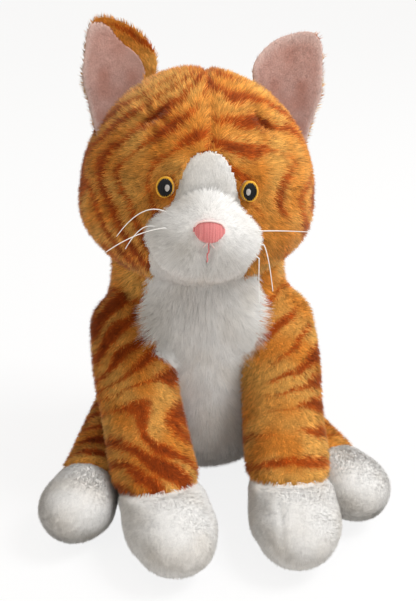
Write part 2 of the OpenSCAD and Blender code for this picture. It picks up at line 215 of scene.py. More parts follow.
class Place:
    """Where a form stands in the shared frame: p -> R p + t."""
    def __init__(self, R, t):
        self.R, self.t = np.asarray(R, float), np.asarray(t, float)
        self.flips = np.linalg.det(self.R) < 0

    def out(self, p):
        return p @ self.R.T + self.t

    def back(self, p):
        return (p - self.t) @ self.R

    def way(self, d):
        return d @ self.R.T

    def mirrored(self):
        m = np.diag([-1.0, 1.0, 1.0])
        return Place(m @ self.R, m @ self.t)


class Form:
    """A swelling body. Rows are [y, z, half width, half thickness in front, half thickness behind].
    Its ends are rounded over the shares start and end of its length."""
    step = 0.02       # share of the length, each way, over which its direction is taken
    tested = 20000    # points tested at a time

    def __init__(self, rows, start, end, rings, sides):
        self.rows = np.array(rows, float)
        self.start, self.end, self.rings, self.sides = start, end, rings, sides
        self.length = np.linalg.norm(np.diff(self.rows[:, :2], axis=0), axis=1).sum()

    def along(self, u):
        r, n = self.rows, len(self.rows) - 1
        i = np.clip(np.floor(u * n).astype(int), 0, n - 1)
        f = (u * n - i)[..., None]
        b, c = r[i], r[i + 1]
        a = np.where((i > 0)[..., None], r[np.maximum(i - 1, 0)], 2 * b - c)
        d = np.where((i < n - 1)[..., None], r[np.minimum(i + 2, n)], 2 * c - b)
        return b + f / 2 * (c - a + f * (2 * a - 5 * b + 4 * c - d + f * (3 * (b - c) + d - a)))

    def girth(self, v):
        s = np.sqrt(np.maximum(0, 1 - (1 - v / self.start) ** 2))
        e = np.sqrt(np.maximum(0, 1 - (1 - (1 - v) / self.end) ** 2))
        return np.where(v < self.start, s, np.where(v > 1 - self.end, e, 1.0))

    def station(self, v, inset=0.0):
        d = inset / self.length
        u = d + v * (1 - 2 * d)
        ahead, behind = self.along(np.minimum(u + self.step, 1)), self.along(np.maximum(u - self.step, 0))
        return self.along(u), unit(ahead[..., :2] - behind[..., :2]), self.girth(v)

    def points(self, v, t, inset=0.0):
        row, way, g = self.station(v, inset)
        out = g * (np.where(np.sin(t) > 0, row[..., 3], row[..., 4]) - inset) * np.sin(t)
        return np.stack([g * (row[..., 2] - inset) * np.cos(t),
                         row[..., 0] - way[..., 1] * out, row[..., 1] + way[..., 0] * out], -1)

    def wall(self, rings, sides, inset=0.0):
        """Rings of points from end to end, without the two tips."""
        k, j = np.meshgrid(np.arange(1, rings), np.arange(sides), indexing="ij")
        return self.points((1 - np.cos(np.pi * k / rings)) / 2, 2 * np.pi * j / sides, inset)

    def lowest(self):
        return self.wall(self.rings, self.sides)[..., 2].min()

    def height(self, z):
        """Height over the bottom of the form's skin."""
        return z - (self.lowest() + skin_in)

    def grid(self, rings, sides, inset):
        """Closed mesh of the form: vertices and faces."""
        tips = self.points(np.array([0.0, 1.0]), np.zeros(2), inset)
        faces = fan(0, 2, sides, flip=True) + fan(1, 2 + (rings - 2) * sides, sides)
        for r in range(rings - 2):
            faces += band(2 + r * sides, sides)
        return np.vstack([tips, self.wall(rings, sides, inset).reshape(-1, 3)]), faces

    def inside(self, p, inset=0.0):
        """Which points lie inside the form, sunk by inset."""
        row, way, g = self.station(np.linspace(0.01, 0.99, 60))
        hit = np.zeros(len(p), bool)
        for a in range(0, len(p), self.tested):
            q = p[a:a + self.tested]
            own = np.arange(len(q))
            dy, dz = q[:, 1, None] - row[:, 0], q[:, 2, None] - row[:, 1]
            ahead = dy * way[:, 0] + dz * way[:, 1]
            out = -dy * way[:, 1] + dz * way[:, 0]
            k = np.argmin(np.abs(ahead) + 0.3 * np.abs(out), axis=1)
            o = out[own, k]
            half = np.where(o > 0, row[k, 3], row[k, 4]) - inset
            near = np.abs(ahead[own, k]) < self.length / 40
            across = (q[:, 0] / np.maximum(g[k] * (row[k, 2] - inset), 1e-6)) ** 2
            hit[a:a + self.tested] = near & (across + (o / np.maximum(g[k] * half, 1e-6)) ** 2 < 1)
        return hit


# The forms

muzzle_y = -head_d / 2 + 9
paw_z = paw_h / 2 - 0.5
foot_z = foot_h / 2 - 0.5
thigh_z = thigh_h / 2 - 0.5
tail_z = tail_r - 0.5
cuff_y = shoulder[1] - cuff_reach
ankle_y = -hind_l + foot_l


def rows(width, depth, table):
    """Rows of a form from rows of [y, z, and what is added to half the width, in front and behind]."""
    w, d = width / 2, depth / 2
    return [[y, z, w + side, d + front, d + behind] for y, z, side, front, behind in table]


torso = Form(
    rows(hip_w, belly_d, [[0, -12, -10, 8, -4], [2, torso_h * 0.18, 0, 6, 4]])
    + rows((hip_w + chest_w) / 2, belly_d, [[1, torso_h * 0.42, 0, -8, 0]])
    + rows(chest_w, chest_d, [[-3, torso_h * 0.66, 3, 2, 8], [-6, torso_h * 0.87, 3, 2, 4],
                              [-8, torso_h + 14, -14, -10, -10]]),
    0.22, 0.2, 13, 22)
head = Form(
    rows(head_w, head_d, [[0, -head_h / 2, -16, -8, -10], [0, -head_h / 4, 4, 0, 0], [0, 0, 0, 0, 2],
                          [0, head_h / 4, -5, -1, 0], [0, head_h / 2, -6, -4, 0]]),
    0.5, 0.5, 15, 24)
muzzle = Form(
    rows(muzzle_w, muzzle_d, [[muzzle_y + 6, -muzzle_drop - muzzle_h / 2, -6, -4, 0],
                              [muzzle_y, -muzzle_drop - muzzle_h / 4, 2, 0, 0],
                              [muzzle_y, -muzzle_drop, -1, 1, 0],
                              [muzzle_y + 3, -muzzle_drop + muzzle_h / 4, -12, -2, 0],
                              [muzzle_y + 12, -muzzle_drop + muzzle_h / 2, -20, -8, 0]]),
    0.5, 0.5, 11, 18)
leg = Form(
    rows(paw_w, paw_h, [[cuff_y - paw_l, paw_z - 2, -2, -2, -2], [cuff_y - paw_l * 0.62, paw_z, 0, 0, 0]])
    + rows(leg_w, leg_t, [[cuff_y - 8, paw_z + 15, 0, 0, 3],
                          [cuff_y + cuff_reach * 0.38, shoulder[2] * 0.55, 0, 0, 0],
                          [cuff_y + cuff_reach * 0.7, shoulder[2] * 0.82, 0, 0, 0],
                          [shoulder[1] - 8, shoulder[2], -5, -2, -2],
                          [shoulder[1] + 2, shoulder[2] + 30, -14, -6, -4]]),
    0.2, 0.14, 14, 16)
hind = Form(
    rows(foot_w, foot_h, [[-hind_l, foot_z + 3, -2, -2, -4], [-hind_l + foot_l * 0.45, foot_z, 0, 0, 0],
                          [ankle_y, foot_z, -4, -3, 0]])
    + rows(thigh_w, thigh_h, [[ankle_y * 0.5, thigh_z - 4, -3, -4, -4], [0, thigh_z, 0, 0, 0],
                              [26, thigh_z, -6, -4, -4]]),
    0.24, 0.16, 11, 16)
tail = Form(
    rows(2 * tail_r, 2 * tail_r, [[tail_y + 12 + tail_l, tail_z + 12, -3, -3, -3],
                                  [tail_y + 12 + tail_l * 0.6, tail_z, 0, 0, 0],
                                  [tail_y + 12 + tail_l * 0.2, tail_z + 4, 0, 0, 0],
                                  [tail_y - 8, tail_z + 16, -1, 0, 0],
                                  [tail_y - 32, tail_z + 20, -2, -2, -2]]),
    0.2, 0.12, 9, 12)


def stood(form):
    return np.array([0, 0, -form.lowest() - 0.5])


def at_shoulder(degrees):
    r = turn("z", degrees)
    return Place(r, [shoulder[0], shoulder[1], 0] + r @ np.array([0, -shoulder[1], 0]) + stood(leg))


on_head = Place(turn("z", -head_turn) @ turn("y", head_lean) @ turn("x", -head_pitch), head_c)
at_torso = Place(np.eye(3), np.zeros(3))
at_tail = Place(np.eye(3), stood(tail))
left_hind = Place(turn("z", splay), hip + stood(hind))
legs = {1: at_shoulder(toe_skew - toe_in), -1: at_shoulder(-toe_skew - toe_in).mirrored()}
hinds = {1: left_hind, -1: left_hind.mirrored()}
sides = {1: "left", -1: "right"}


# Skins: each form's fabric, swelled by its stuffing between the seams that hold it

def arrays(obj):
    """Vertices (mm), normals and faces of an object with its modifiers."""
    mesh = obj.evaluated_get(bpy.context.evaluated_depsgraph_get()).to_mesh()
    v = np.empty(len(mesh.vertices) * 3)
    n = np.empty(len(mesh.vertices) * 3)
    mesh.vertices.foreach_get("co", v)
    mesh.vertex_normals.foreach_get("vector", n)
    faces = [tuple(p.vertices) for p in mesh.polygons]
    return v.reshape(-1, 3) * 1000, n.reshape(-1, 3), faces


def mesh_object(name, v, faces):
    """Object of points in millimetres. Faces are lists or one array of rows."""
    mesh = bpy.data.meshes.new(name)
    lists = faces.tolist() if isinstance(faces, np.ndarray) else faces
    mesh.from_pydata((v * 0.001).tolist(), [], lists)
    mesh.update()
    obj = bpy.data.objects.new(name, mesh)
    scene.collection.objects.link(obj)
    return obj


def taken(obj):
    """The arrays of an object that is then removed."""
    found = arrays(obj)
    mesh = obj.data
    bpy.data.objects.remove(obj)
    bpy.data.meshes.remove(mesh)
    return found


def subdivided(v, faces):
    obj = mesh_object("subdivided", v, faces)
    obj.modifiers.new("sub", "SUBSURF").levels = 1
    return taken(obj)


def blown(v, faces, pin, press):
    """Points of a fabric under pressure, held back where pin is 1."""
    obj = mesh_object("stuffing", v, faces)
    group = obj.vertex_groups.new(name="held")
    for i in np.nonzero(pin > 0.02)[0]:
        group.add([int(i)], float(pin[i]), "REPLACE")
    cloth = obj.modifiers.new("cloth", "CLOTH")
    fabric = cloth.settings
    fabric.quality = 5
    fabric.mass = 0.01
    fabric.air_damping = 2.0
    fabric.tension_stiffness = 5
    fabric.compression_stiffness = 5
    fabric.shear_stiffness = 2
    fabric.bending_stiffness = 0.3
    fabric.use_pressure = True
    fabric.uniform_pressure_force = press
    fabric.vertex_group_mass = "held"
    fabric.effector_weights.gravity = 0
    last = 20
    cloth.point_cache.frame_start = 1
    cloth.point_cache.frame_end = last
    for f in range(1, last + 1):
        scene.frame_set(f)
    after = taken(obj)[0]
    scene.frame_set(1)
    return after


def stuffed(form, voxel, held, press, flat=None):
    """Skin of a form: remeshed, pushed out by pressure except where held() is 1, and subdivided."""
    v, faces = form.grid(48, 64, skin_in)
    if flat is not None:
        v[:, 2] = np.maximum(v[:, 2], flat)
    obj = mesh_object("stuffing", v, faces)
    remesh = obj.modifiers.new("remesh", "REMESH")
    remesh.mode = "VOXEL"
    remesh.voxel_size = voxel * 0.001
    v, n, faces = taken(obj)
    pin = np.clip(held(v), 0, 1)
    after = blown(v, faces, pin, press)
    # the stuffing gives way, so the fabric comes out by swell_by at most
    out = ((after - v) * n).sum(axis=1)
    v, n, faces = subdivided(v + n * (swell_by * np.tanh(out / 2) * (1 - pin))[:, None], faces)
    if flat is not None:
        v[:, 2] = np.maximum(v[:, 2], flat)
    return v, n, faces


def cuff_side(p):
    """Distance from the cuff seam in a leg's own frame, positive on the paw's side."""
    c, s = math.cos(math.radians(cuff_tilt)), math.sin(math.radians(cuff_tilt))
    return -(p[:, 1] - cuff_y) * c - (p[:, 2] - paw_z - 12) * s


def bib_edge(z):
    """Half width of the bib."""
    return np.interp(z, [0, 74, 166, 252], [37, 37, 49, 37])


def in_blaze(p):
    """Positive inside the white blaze of the face, in the head's frame."""
    x, y, z = p.T
    top = blaze_top + 1.5
    heights = [-95, -70, -50, -29, 0, 18, top - 7, top - 2, top]
    wide = np.interp(z, heights, [20, 40, 42, 30, 25, 20, 14.5, 9, 2])
    return np.where((y < 0) & (z < top), wide - np.abs(x), -50.0)


def crease(x, z, side):
    """Distances along and across the crease above an eye."""
    across, up, slope = x - crease_x * side, z - crease_z, -crease_slope * side
    return across + slope * up, up - slope * across


def head_held(p):
    x, y, z = p.T
    crown = hill((x, seam_hold)) * ((y > 0) | (z > blaze_top + 6))
    eyes = hill((np.abs(x) - eye_x, 9), (z - eye_z, 10)) * (y < 0)
    return np.maximum(crown, eyes)


def torso_held(p):
    x, y, z = p.T
    edge = hill((np.abs(x) - bib_edge(z), seam_hold)) * (y < 0)
    back = hill((x, seam_hold)) * (y > 0)
    return np.maximum(np.maximum(edge, back), smooth(10, 4, z))


def leg_held(p):
    return np.maximum(hill((cuff_side(p), seam_hold)), smooth(8, 3, leg.height(p[:, 2])))


def hind_held(p):
    return np.maximum(hill((p[:, 1] - ankle_y, seam_hold)), smooth(8, 3, hind.height(p[:, 2])))


def muzzle_held(p):
    x, y, z = p.T
    return hill((x, seam_hold)) * smooth(nose_z - 4, nose_z - 12, z) * (y < muzzle_y)


def tail_held(p):
    return hill((p[:, 0], seam_hold)) * (p[:, 2] < tail_z)


def sewn(skin, dents):
    """Pulls a skin in by dents(points), in millimetres."""
    v, n, faces = skin
    v = v - n * dents(v)[:, None]
    return v, taken(mesh_object("normals", v, faces))[1], faces


def head_dents(p):
    x, y, z = p.T
    front = y < 0
    crown_seam = 2.6 * hill((x, 2.6)) * ((y > 0) | (z > blaze_top + 4))
    eye_hollows = 2.2 * hill((np.abs(x) - eye_x, 10), (z - eye_z, 11)) * front
    d = crown_seam + eye_hollows
    for side in (1, -1):
        # crease above each eye, with folds that run from it
        u, w = crease(x, z, side)
        d = d + 6.5 * hill((u, 13), (w, 3.4)) * front
        d = d + 1.3 * hill((np.hypot(u, w), 26)) * np.sin(np.arctan2(w, u) * 5) * front
    blaze_seam = 1.3 * hill((in_blaze(p), 2.2))
    return d + blaze_seam + noise(p, 36, 11) + 0.35 * noise(p, 13, 12)


def muzzle_dents(p):
    x, y, z = p.T
    lip = smooth(nose_z - 6, nose_z - 14, z) * smooth(-muzzle_drop - 34, -muzzle_drop - 16, z)
    mouth_seam = 3.2 * hill((x, 4.5)) * lip * (y < muzzle_y)
    # round cheeks beside the mouth, and a full chin
    cheek = hill((np.abs(x) - 30, 17), (z + muzzle_drop + 12, 20))
    chin = smooth(-muzzle_drop - 14, -muzzle_drop - 32, z)
    return mouth_seam - 2.4 * cheek - 3.8 * chin + 0.9 * noise(p, 30, 21)


def torso_dents(p):
    x, y, z = p.T
    bib_seam = 1.8 * hill((np.abs(x) - bib_edge(z), 3)) * (y < 0)
    back_seam = 2.2 * hill((x, 3)) * (y > 0)
    # the bib is fullest beside the tops of the forelegs
    full_bib = 11 * hill((np.abs(x) - 37, 15), (z - 150, 24)) * (y < 0)
    # the shoulders slope up to the head
    shoulders = 8 * smooth(30, 54, np.abs(x)) * hill((z - 150, 20))
    d = bib_seam + back_seam - full_bib - shoulders
    return (d + 1.4 * noise(p, 44, 31) + 0.5 * noise(p, 17, 32)) * smooth(2, 14, z)


def gathers(p, c, middle_z, count, seed):
    """Small folds that run out from a cuff, at the distance c from its seam."""
    round_ = np.arctan2(p[:, 2] - middle_z, p[:, 0])
    return 0.4 * hill((c, 10)) * np.sin(round_ * count + 4 * noise(p, 30, seed))


def leg_dents(p):
    x, _, z = p.T
    c, low = cuff_side(p), leg.height(z)
    cuff = 2.4 * hill((c, 2.6))
    # the seam round the toes, low on the paw, and one along its inner third
    toes = 1.8 * hill((low - 13, 2.8))
    along = 0.9 * hill((x + 14, 2.8)) * smooth(20, 34, low)
    paw_seams = (toes + along) * smooth(4, 14, c)
    # the paw, with its shorter pile, is stuffed fuller than the leg, but not at its sides
    full_paw = (2.4 - 3.4 * smooth(14, 34, np.abs(x))) * smooth(2, 16, c)
    # a soft fold over the instep
    fold = 1.4 * hill((c - 20, 6)) * smooth(30, 60, z)
    # the shoulder slopes down from the neck
    outside = 6 * smooth(0, 20, x) * smooth(shoulder[2], shoulder[2] + 30, z)
    inside = 9 * smooth(8, -12, x) * smooth(shoulder[2] + 14, shoulder[2] + 40, z)
    d = cuff + gathers(p, c, paw_z + 8, 11, 43) + paw_seams - full_paw + fold + outside - inside
    return (d + 1.2 * noise(p, 40, 41) + 0.4 * noise(p, 15, 42)) * smooth(2, 12, low)


def hind_dents(p):
    c = p[:, 1] - ankle_y
    d = 3.0 * hill((c, 2.8)) + gathers(p, c, foot_z, 10, 53)
    return (d + 1.2 * noise(p, 38, 51) + 0.4 * noise(p, 15, 52)) * smooth(2, 12, hind.height(p[:, 2]))


def tail_dents(p):
    return 1.8 * hill((p[:, 0], 3)) * (p[:, 2] < tail_z) + noise(p, 30, 61)


skins = {
    "torso": sewn(stuffed(torso, 5.5, torso_held, 3000, flat=1.2), torso_dents),
    "head": sewn(stuffed(head, 5.0, head_held, 3000), head_dents),
    "muzzle": sewn(stuffed(muzzle, 3.6, muzzle_held, 14000), muzzle_dents),
    "leg": sewn(stuffed(leg, 4.6, leg_held, 8500), leg_dents),
    "hind": sewn(stuffed(hind, 4.6, hind_held, 12000), hind_dents),
    "tail": sewn(stuffed(tail, 4.0, tail_held, 18000), tail_dents),
}


# Materials

def set_inputs(node, values):
    for key, value in values.items():
        node.inputs[key].default_value = value


def add_node(tree, kind, values):
    node = tree.nodes.new("ShaderNode" + kind)
    set_inputs(node, values)
    return node


def shader(name, rough, sheen, tint=None, speck=900.0, bump=0.0, spread=0.16):
    """Principled material. Its colour is the piece's own colour with fine variation."""
    m = bpy.data.materials.new(name)
    m.use_nodes = True
    tree = m.node_tree
    link = tree.links.new
    base = tree.nodes["Principled BSDF"]
    set_inputs(base, {"Roughness": rough, "Specular IOR Level": 0.12 if rough > 0.7 else 0.3,
                      "Sheen Weight": sheen, "Sheen Roughness": 0.45})
    if tint is not None:
        set_inputs(base, {"Sheen Tint": (*tint, 1)})
    attr = add_node(tree, "Attribute", {})
    attr.attribute_name = "surface_colour"
    coord = add_node(tree, "TexCoord", {})
    specks = add_node(tree, "TexNoise", {"Scale": speck, "Detail": 2.0})
    ramp = add_node(tree, "MapRange", {"From Min": 0.3, "From Max": 0.7,
                                       "To Min": 1 - spread, "To Max": 1 + spread * 0.6})
    mul = add_node(tree, "Mix", {"Factor": 1.0})
    mul.data_type, mul.blend_type = "RGBA", "MULTIPLY"
    link(coord.outputs["Object"], specks.inputs["Vector"])
    link(specks.outputs["Fac"], ramp.inputs["Value"])
    link(attr.outputs["Color"], mul.inputs["A"])
    link(ramp.outputs["Result"], mul.inputs["B"])
    link(mul.outputs["Result"], base.inputs["Base Color"])
    if bump:
        weave = add_node(tree, "TexNoise", {"Scale": 600.0})
        relief = add_node(tree, "Bump", {"Strength": bump, "Distance": 0.0006})
        link(coord.outputs["Object"], weave.inputs["Vector"])
        link(weave.outputs["Fac"], relief.inputs["Height"])
        link(relief.outputs["Normal"], base.inputs["Normal"])
    return m


pile_mat = {
    "tabby_plush": shader("tabby_pile", 0.8, 0.25, (1.0, 0.8, 0.55)),
    "white_plush": shader("white_pile", 0.85, 0.2, (1.0, 1.0, 1.0), spread=0.06),
    "pink_plush": shader("pink_pile", 0.85, 0.25, (1.0, 0.9, 0.9), spread=0.08),
}
cloth_mat = {
    "tabby_plush": shader("tabby_backing", 0.95, 0.1, bump=0.6),
    "white_plush": shader("white_backing", 0.95, 0.1, bump=0.2, spread=0.08),
    "pink_plush": shader("pink_backing", 0.95, 0.1, bump=0.6, spread=0.1),
}
thread_mat = {
    "rose_thread": shader("rose_thread", 0.5, 0.3, speck=1500, spread=0.12),
    "gold_thread": shader("gold_thread", 0.5, 0.3, speck=1500, spread=0.12),
    "black_thread": shader("black_thread", 0.6, 0.0, speck=1500, spread=0.2),
    "grey_thread": shader("grey_thread", 0.5, 0.2, speck=1500, spread=0.1),
    "whisker_thread": shader("whisker_thread", 0.35, 0.0, speck=1200, spread=0.06),
}


# Colours of the plush

GOLD, PALE, RUST, DARK = lin(236, 152, 60), lin(248, 184, 94), lin(200, 84, 12), lin(126, 44, 6)
WHITE, CREAM = lin(250, 249, 247), lin(240, 236, 230)
PINK, PINK_LOW, PINK_RIM_HIGHLIGHT = lin(240, 196, 184), lin(226, 170, 154), lin(250, 226, 218)


def tabby(p, s, seed, wide=19.0, more=0.0):
    """Stripes across the distance s, wavy and broken, like the dyed pile."""
    w = (s + 7 * noise(p, 46, seed) + 3.4 * noise(p, 17, seed + 1) + 1.2 * noise(p, 7, seed + 4)) / wide
    row = np.floor(w)
    own = lattice(ways(row, 0, 0).astype(np.int64), seed + 5)
    line = 1 - np.abs(2 * (w - row) - 1) + 0.5 * noise(p, 30, seed + 2) + 0.3 * (own - 0.5) + more
    base = mix(GOLD, PALE, smooth(-0.5, 0.6, noise(p, 19, seed + 3)))
    c = mix(base, RUST, 0.92 * smooth(0.58, 0.88, line))
    return mix(c, DARK, 0.6 * smooth(0.85, 1.25, line))


def plain(p, a, b, seed, size=18.0):
    return mix(a, b, smooth(-0.5, 1.0, noise(p, size, seed)))


def white_dye(seed):
    return lambda p: plain(p, WHITE, CREAM, seed)


# Pieces: a shell of fabric and the pile on it

# tone of a strand at its root, as a share of that at its tip: painted shade deep in the pile between the
# strands, and partly the paler tips of the plush
DEEP = {"tabby_plush": 0.6, "white_plush": 0.82, "pink_plush": 0.86}
# how much the tone of one strand differs from the next
SPECK = {"tabby_plush": 0.64, "white_plush": 0.15, "pink_plush": 0.2}
# how far the shading of a strand departs from that of the fabric under it
RUFFLE = {"tabby_plush": 0.55, "white_plush": 0.55, "pink_plush": 0.7}
# the same for the smooth paws
PAW_RUFFLE = 0.2
# how far the dye runs, how deep the strands are rooted, and the least height of the pile, in millimetres
DYE_BLUR, ROOT_DEPTH, LEAST_Z = 1.5, 0.5, 0.4


def finish_mesh(obj, surface_colour, mat):
    mesh = obj.data
    layer = mesh.color_attributes.new("surface_colour", "FLOAT_COLOR", "POINT")
    rgba = np.hstack([surface_colour, np.ones((len(surface_colour), 1))])
    layer.data.foreach_set("color", rgba.astype(np.float32).ravel())
    mesh.materials.append(mat)
    mesh.polygons.foreach_set("use_smooth", np.ones(len(mesh.polygons), bool))
    mesh.update()


def shell(name, skin, pick, place, slot, surface_colour, thick):
    """Closed fabric made of the faces whose middle pick() takes."""
    v, n, faces = skin
    f = np.array(faces)
    f = f[pick(v[f].mean(axis=1))]
    used, f = np.unique(f, return_inverse=True)
    f = f.reshape(-1, 4)
    v, n, count = v[used], n[used], len(used)
    a, b = f.ravel(), np.roll(f, -1, axis=1).ravel()
    back = set((b * count + a).tolist())
    rim = np.array([k for k, e in enumerate((a * count + b).tolist()) if e not in back], int)
    edge = np.stack([b[rim], a[rim], a[rim] + count, b[rim] + count], -1).reshape(-1, 4)
    f = np.vstack([f, f[:, ::-1] + count, edge])
    if place.flips:
        f = f[:, ::-1]
    # painted shade: the fabric is a little lighter than the shaded roots of its pile, and darker inside
    c = surface_colour(v) * (DEEP[slot] + 0.06)
    obj = mesh_object(name, place.out(np.vstack([v, v - n * thick])), f)
    finish_mesh(obj, np.vstack([c, c * 0.8]), cloth_mat[slot])
    return obj


def roots(skin, dense, rng):
    """Points spread evenly over a skin, so many to a square millimetre, with their normals."""
    v, n, faces = skin
    f = np.array(faces)
    tri = np.vstack([f[:, [0, 1, 2]], f[:, [0, 2, 3]]])
    a, b, c = v[tri[:, 0]], v[tri[:, 1]], v[tri[:, 2]]
    area = np.linalg.norm(np.cross(b - a, c - a), axis=1) / 2
    k = rng.choice(len(tri), int(area.sum() * dense), p=area / area.sum())
    r1, r2 = np.sqrt(rng.random(len(k))), rng.random(len(k))
    w = np.stack([1 - r1, r1 * (1 - r2), r1 * r2], -1)[..., None]
    p = (v[tri[k]] * w).sum(axis=1)
    return p, unit((n[tri[k]] * w).sum(axis=1))


def strands(name, root, tip, nrm, surface_colour, radius, rng, mat, deep, ruffle):
    """One object of tapered strands, each with its own cell of the map that colours are kept in."""
    count = len(root)
    way = unit(tip - root)
    e1 = unit(np.cross(way, unit(rng.normal(size=(count, 3)))))
    e2 = np.cross(way, e1)
    ring = [2 * np.pi * k / 3 for k in range(3)]
    round_ = [math.cos(a) * e1 + math.sin(a) * e2 for a in ring]
    v = np.stack([root + radius[:, None] * d for d in round_] + [tip], 1).reshape(-1, 3)
    lit = [unit(nrm + d * ruffle) for d in round_] + [unit(nrm + way * ruffle * 0.5)]
    # painted shade: each strand's root is darker than its tip, by deep
    c = np.stack([surface_colour * deep] * 3 + [surface_colour], 1).reshape(-1, 3)
    o = np.arange(count)[:, None, None] * 4
    f = (o + np.array([[0, 1, 3], [1, 2, 3], [2, 0, 3]])).reshape(-1, 3)
    mesh = bpy.data.meshes.new(name)
    mesh.vertices.add(len(v))
    mesh.vertices.foreach_set("co", (v * 0.001).astype(np.float32).ravel())
    mesh.loops.add(f.size)
    mesh.loops.foreach_set("vertex_index", f.astype(np.int32).ravel())
    mesh.polygons.add(len(f))
    mesh.polygons.foreach_set("loop_start", np.arange(0, f.size, 3, dtype=np.int32))
    mesh.update(calc_edges=True)
    n = int(math.ceil(math.sqrt(count)))
    cell = np.stack([np.arange(count) % n, np.arange(count) // n], -1)[:, None, None, :]
    uv = np.array([[[a, 0.1], [a + 0.28, 0.1], [0.5, 0.9]] for a in (0.08, 0.36, 0.64)])
    layer = mesh.uv_layers.new(name="OFBake")
    layer.data.foreach_set("uv", ((cell + uv) / n).astype(np.float32).ravel())
    obj = bpy.data.objects.new(name, mesh)
    scene.collection.objects.link(obj)
    finish_mesh(obj, c, mat)
    mesh.normals_split_custom_set_from_vertices(np.stack(lit, 1).reshape(-1, 3).tolist())
    # light passes through the fine fibres
    obj.visible_shadow = False
    return obj


def pile(name, skin, pick, place, slot, surface_colour, dense, length, comb, seed,
         keep=everywhere, radius=0.32, lean=0.8, tuft=3.4, loose=1.0, facing=None, ruffle=None):
    """Pile on the part of a skin that pick() and keep() take. It leans the way comb gives, in tufts."""
    rng = np.random.default_rng(seed)
    p, n = roots(skin, dense, rng)
    for test in (pick, keep):
        ok = test(p)
        p, n = p[ok], n[ok]

    def three(kind):
        return np.stack([kind(k) for k in range(3)], -1)

    size = each(length, p) * (0.72 + 0.5 * rng.random(len(p)))
    way = each(comb, p)
    way = unit(way - n * (way * n).sum(axis=1, keepdims=True))
    # tufts: each has its own lean, and its strands draw towards its middle
    q = p + 2.2 * three(lambda k: noise(p, 8, seed + k))
    cell = np.floor(q / tuft).astype(np.int64)
    lock = three(lambda k: lattice(cell, seed + 10 + k)) * 2 - 1
    swirl = three(lambda k: noise(p, 24, seed + 20 + k))
    pull = (cell + 0.5) * tuft - q
    pull = pull - n * (pull * n).sum(axis=1, keepdims=True)
    stray = loose * (0.3 * swirl + 0.26 * lock + 0.16 * rng.normal(size=p.shape))
    d = unit(n + each(lean, p)[:, None] * way + stray)
    tip = place.out(p + d * size[:, None] + 0.3 * pull * np.minimum(1, size / 6)[:, None])
    root = place.out(p - n * ROOT_DEPTH)
    tip[:, 2] = np.maximum(tip[:, 2], LEAST_Z)
    root[:, 2] = np.maximum(root[:, 2], LEAST_Z)
    speck = SPECK[slot] * (rng.random(len(p)) - 0.5 + 0.5 * lock[:, 0])
    tone = 0.05 * noise(p, 30, seed + 30) + speck + 1.0
    if facing is not None:
        n = unit(0.4 * n + 0.6 * unit(each(facing, p)))
    colour = surface_colour(p + DYE_BLUR * rng.normal(size=p.shape)) * tone[:, None]
    thick = radius * (0.8 + 0.4 * rng.random(len(p)))
    obj = strands(name, root, tip, place.way(n), colour, thick, rng, pile_mat[slot], DEEP[slot],
                  RUFFLE[slot] if ruffle is None else ruffle)
    return obj


def rides(body):
    return lambda obj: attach(obj, body)


def blends(start, end):
    """Bakes an object's placement into its mesh. The two points, start and end in millimetres, are not used.
    """
    return lambda obj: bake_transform(obj)


def dress(piece, skin, pick, place, slot, surface_colour, tie, fill=None, stuffing=(), backing=None, thick=2.4, **fur):
    """A piece of the toy: its fabric, which stands for the stuffing too, and the pile on it."""
    cloth = shell(piece + "_fabric", skin, pick, place, slot, backing or surface_colour, thick)
    hair = pile(piece.replace("_panel", "") + "_pile", skin, pick, place, slot, surface_colour, **fur)
    tie(cloth)
    tie(hair)
    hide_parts(piece, *stuffing)


# Torso

def in_limbs(p, inset):
    """Inside a leg, both at rest and at the end of its motion. Points in the shared frame."""
    hit = np.zeros(len(p), bool)
    for s in (1, -1):
        lifted = about(p, shoulder * [s, 1, 1], "x", -foreleg_lift)
        swung = about(p, hip * [s, 1, 1], "z", hind_swing * s)
        for form, place, moved in ((leg, legs[s], lifted), (hind, hinds[s], swung)):
            hit |= form.inside(place.back(p), inset) & form.inside(place.back(moved), inset)
    return hit


def head_in_frame(p, inset):
    return head.inside(on_head.back(p), inset)


def bib(p):
    return (p[:, 1] < 0) & (np.abs(p[:, 0]) < bib_edge(p[:, 2]) + 1.5 * noise(p, 9, 33))


def torso_kept(p):
    return ~(head_in_frame(p, 28) | in_limbs(p, 9)) & (p[:, 2] > 3)


def torso_dye(p):
    back = smooth(-20, 40, p[:, 1])
    return tabby(p, p[:, 2] * 0.92 + 0.45 * np.abs(p[:, 0]) * (1 - 0.5 * back), 300)


def torso_comb(p):
    return ways(0.004 * p[:, 0], 0.3, -1.0)


def chest_with_painted_shade(p):
    # painted shade: the bib is darker towards its bottom
    return plain(p, WHITE, CREAM, 310) * (1 - 0.12 * smooth(110, 30, p[:, 2]))[:, None]


def fringe(p):
    """1 beside the tops of the forelegs, over which the pile of the bib falls."""
    near = [leg.inside(legs[s].back(p), -reach) for s in (1, -1) for reach in (9, 6, 3, 0)]
    return np.sum(near, axis=0) / 4 * smooth(85, 110, p[:, 2]) * smooth(205, 175, p[:, 2])


def chest_length(p):
    return 9.5 + 1.5 * noise(p, 20, 34) + 9 * fringe(p)


def chest_lean(p):
    return 1.3 - 0.95 * fringe(p)


def chest_comb(p):
    x, f = p[:, 0], fringe(p)
    return ways(0.02 * x + 1.2 * np.sign(x) * f, -0.2 - 1.0 * f, -1.0 + 0.6 * f)


def chest_facing(p):
    return ways(0.008 * p[:, 0], -1.0, 0.2)


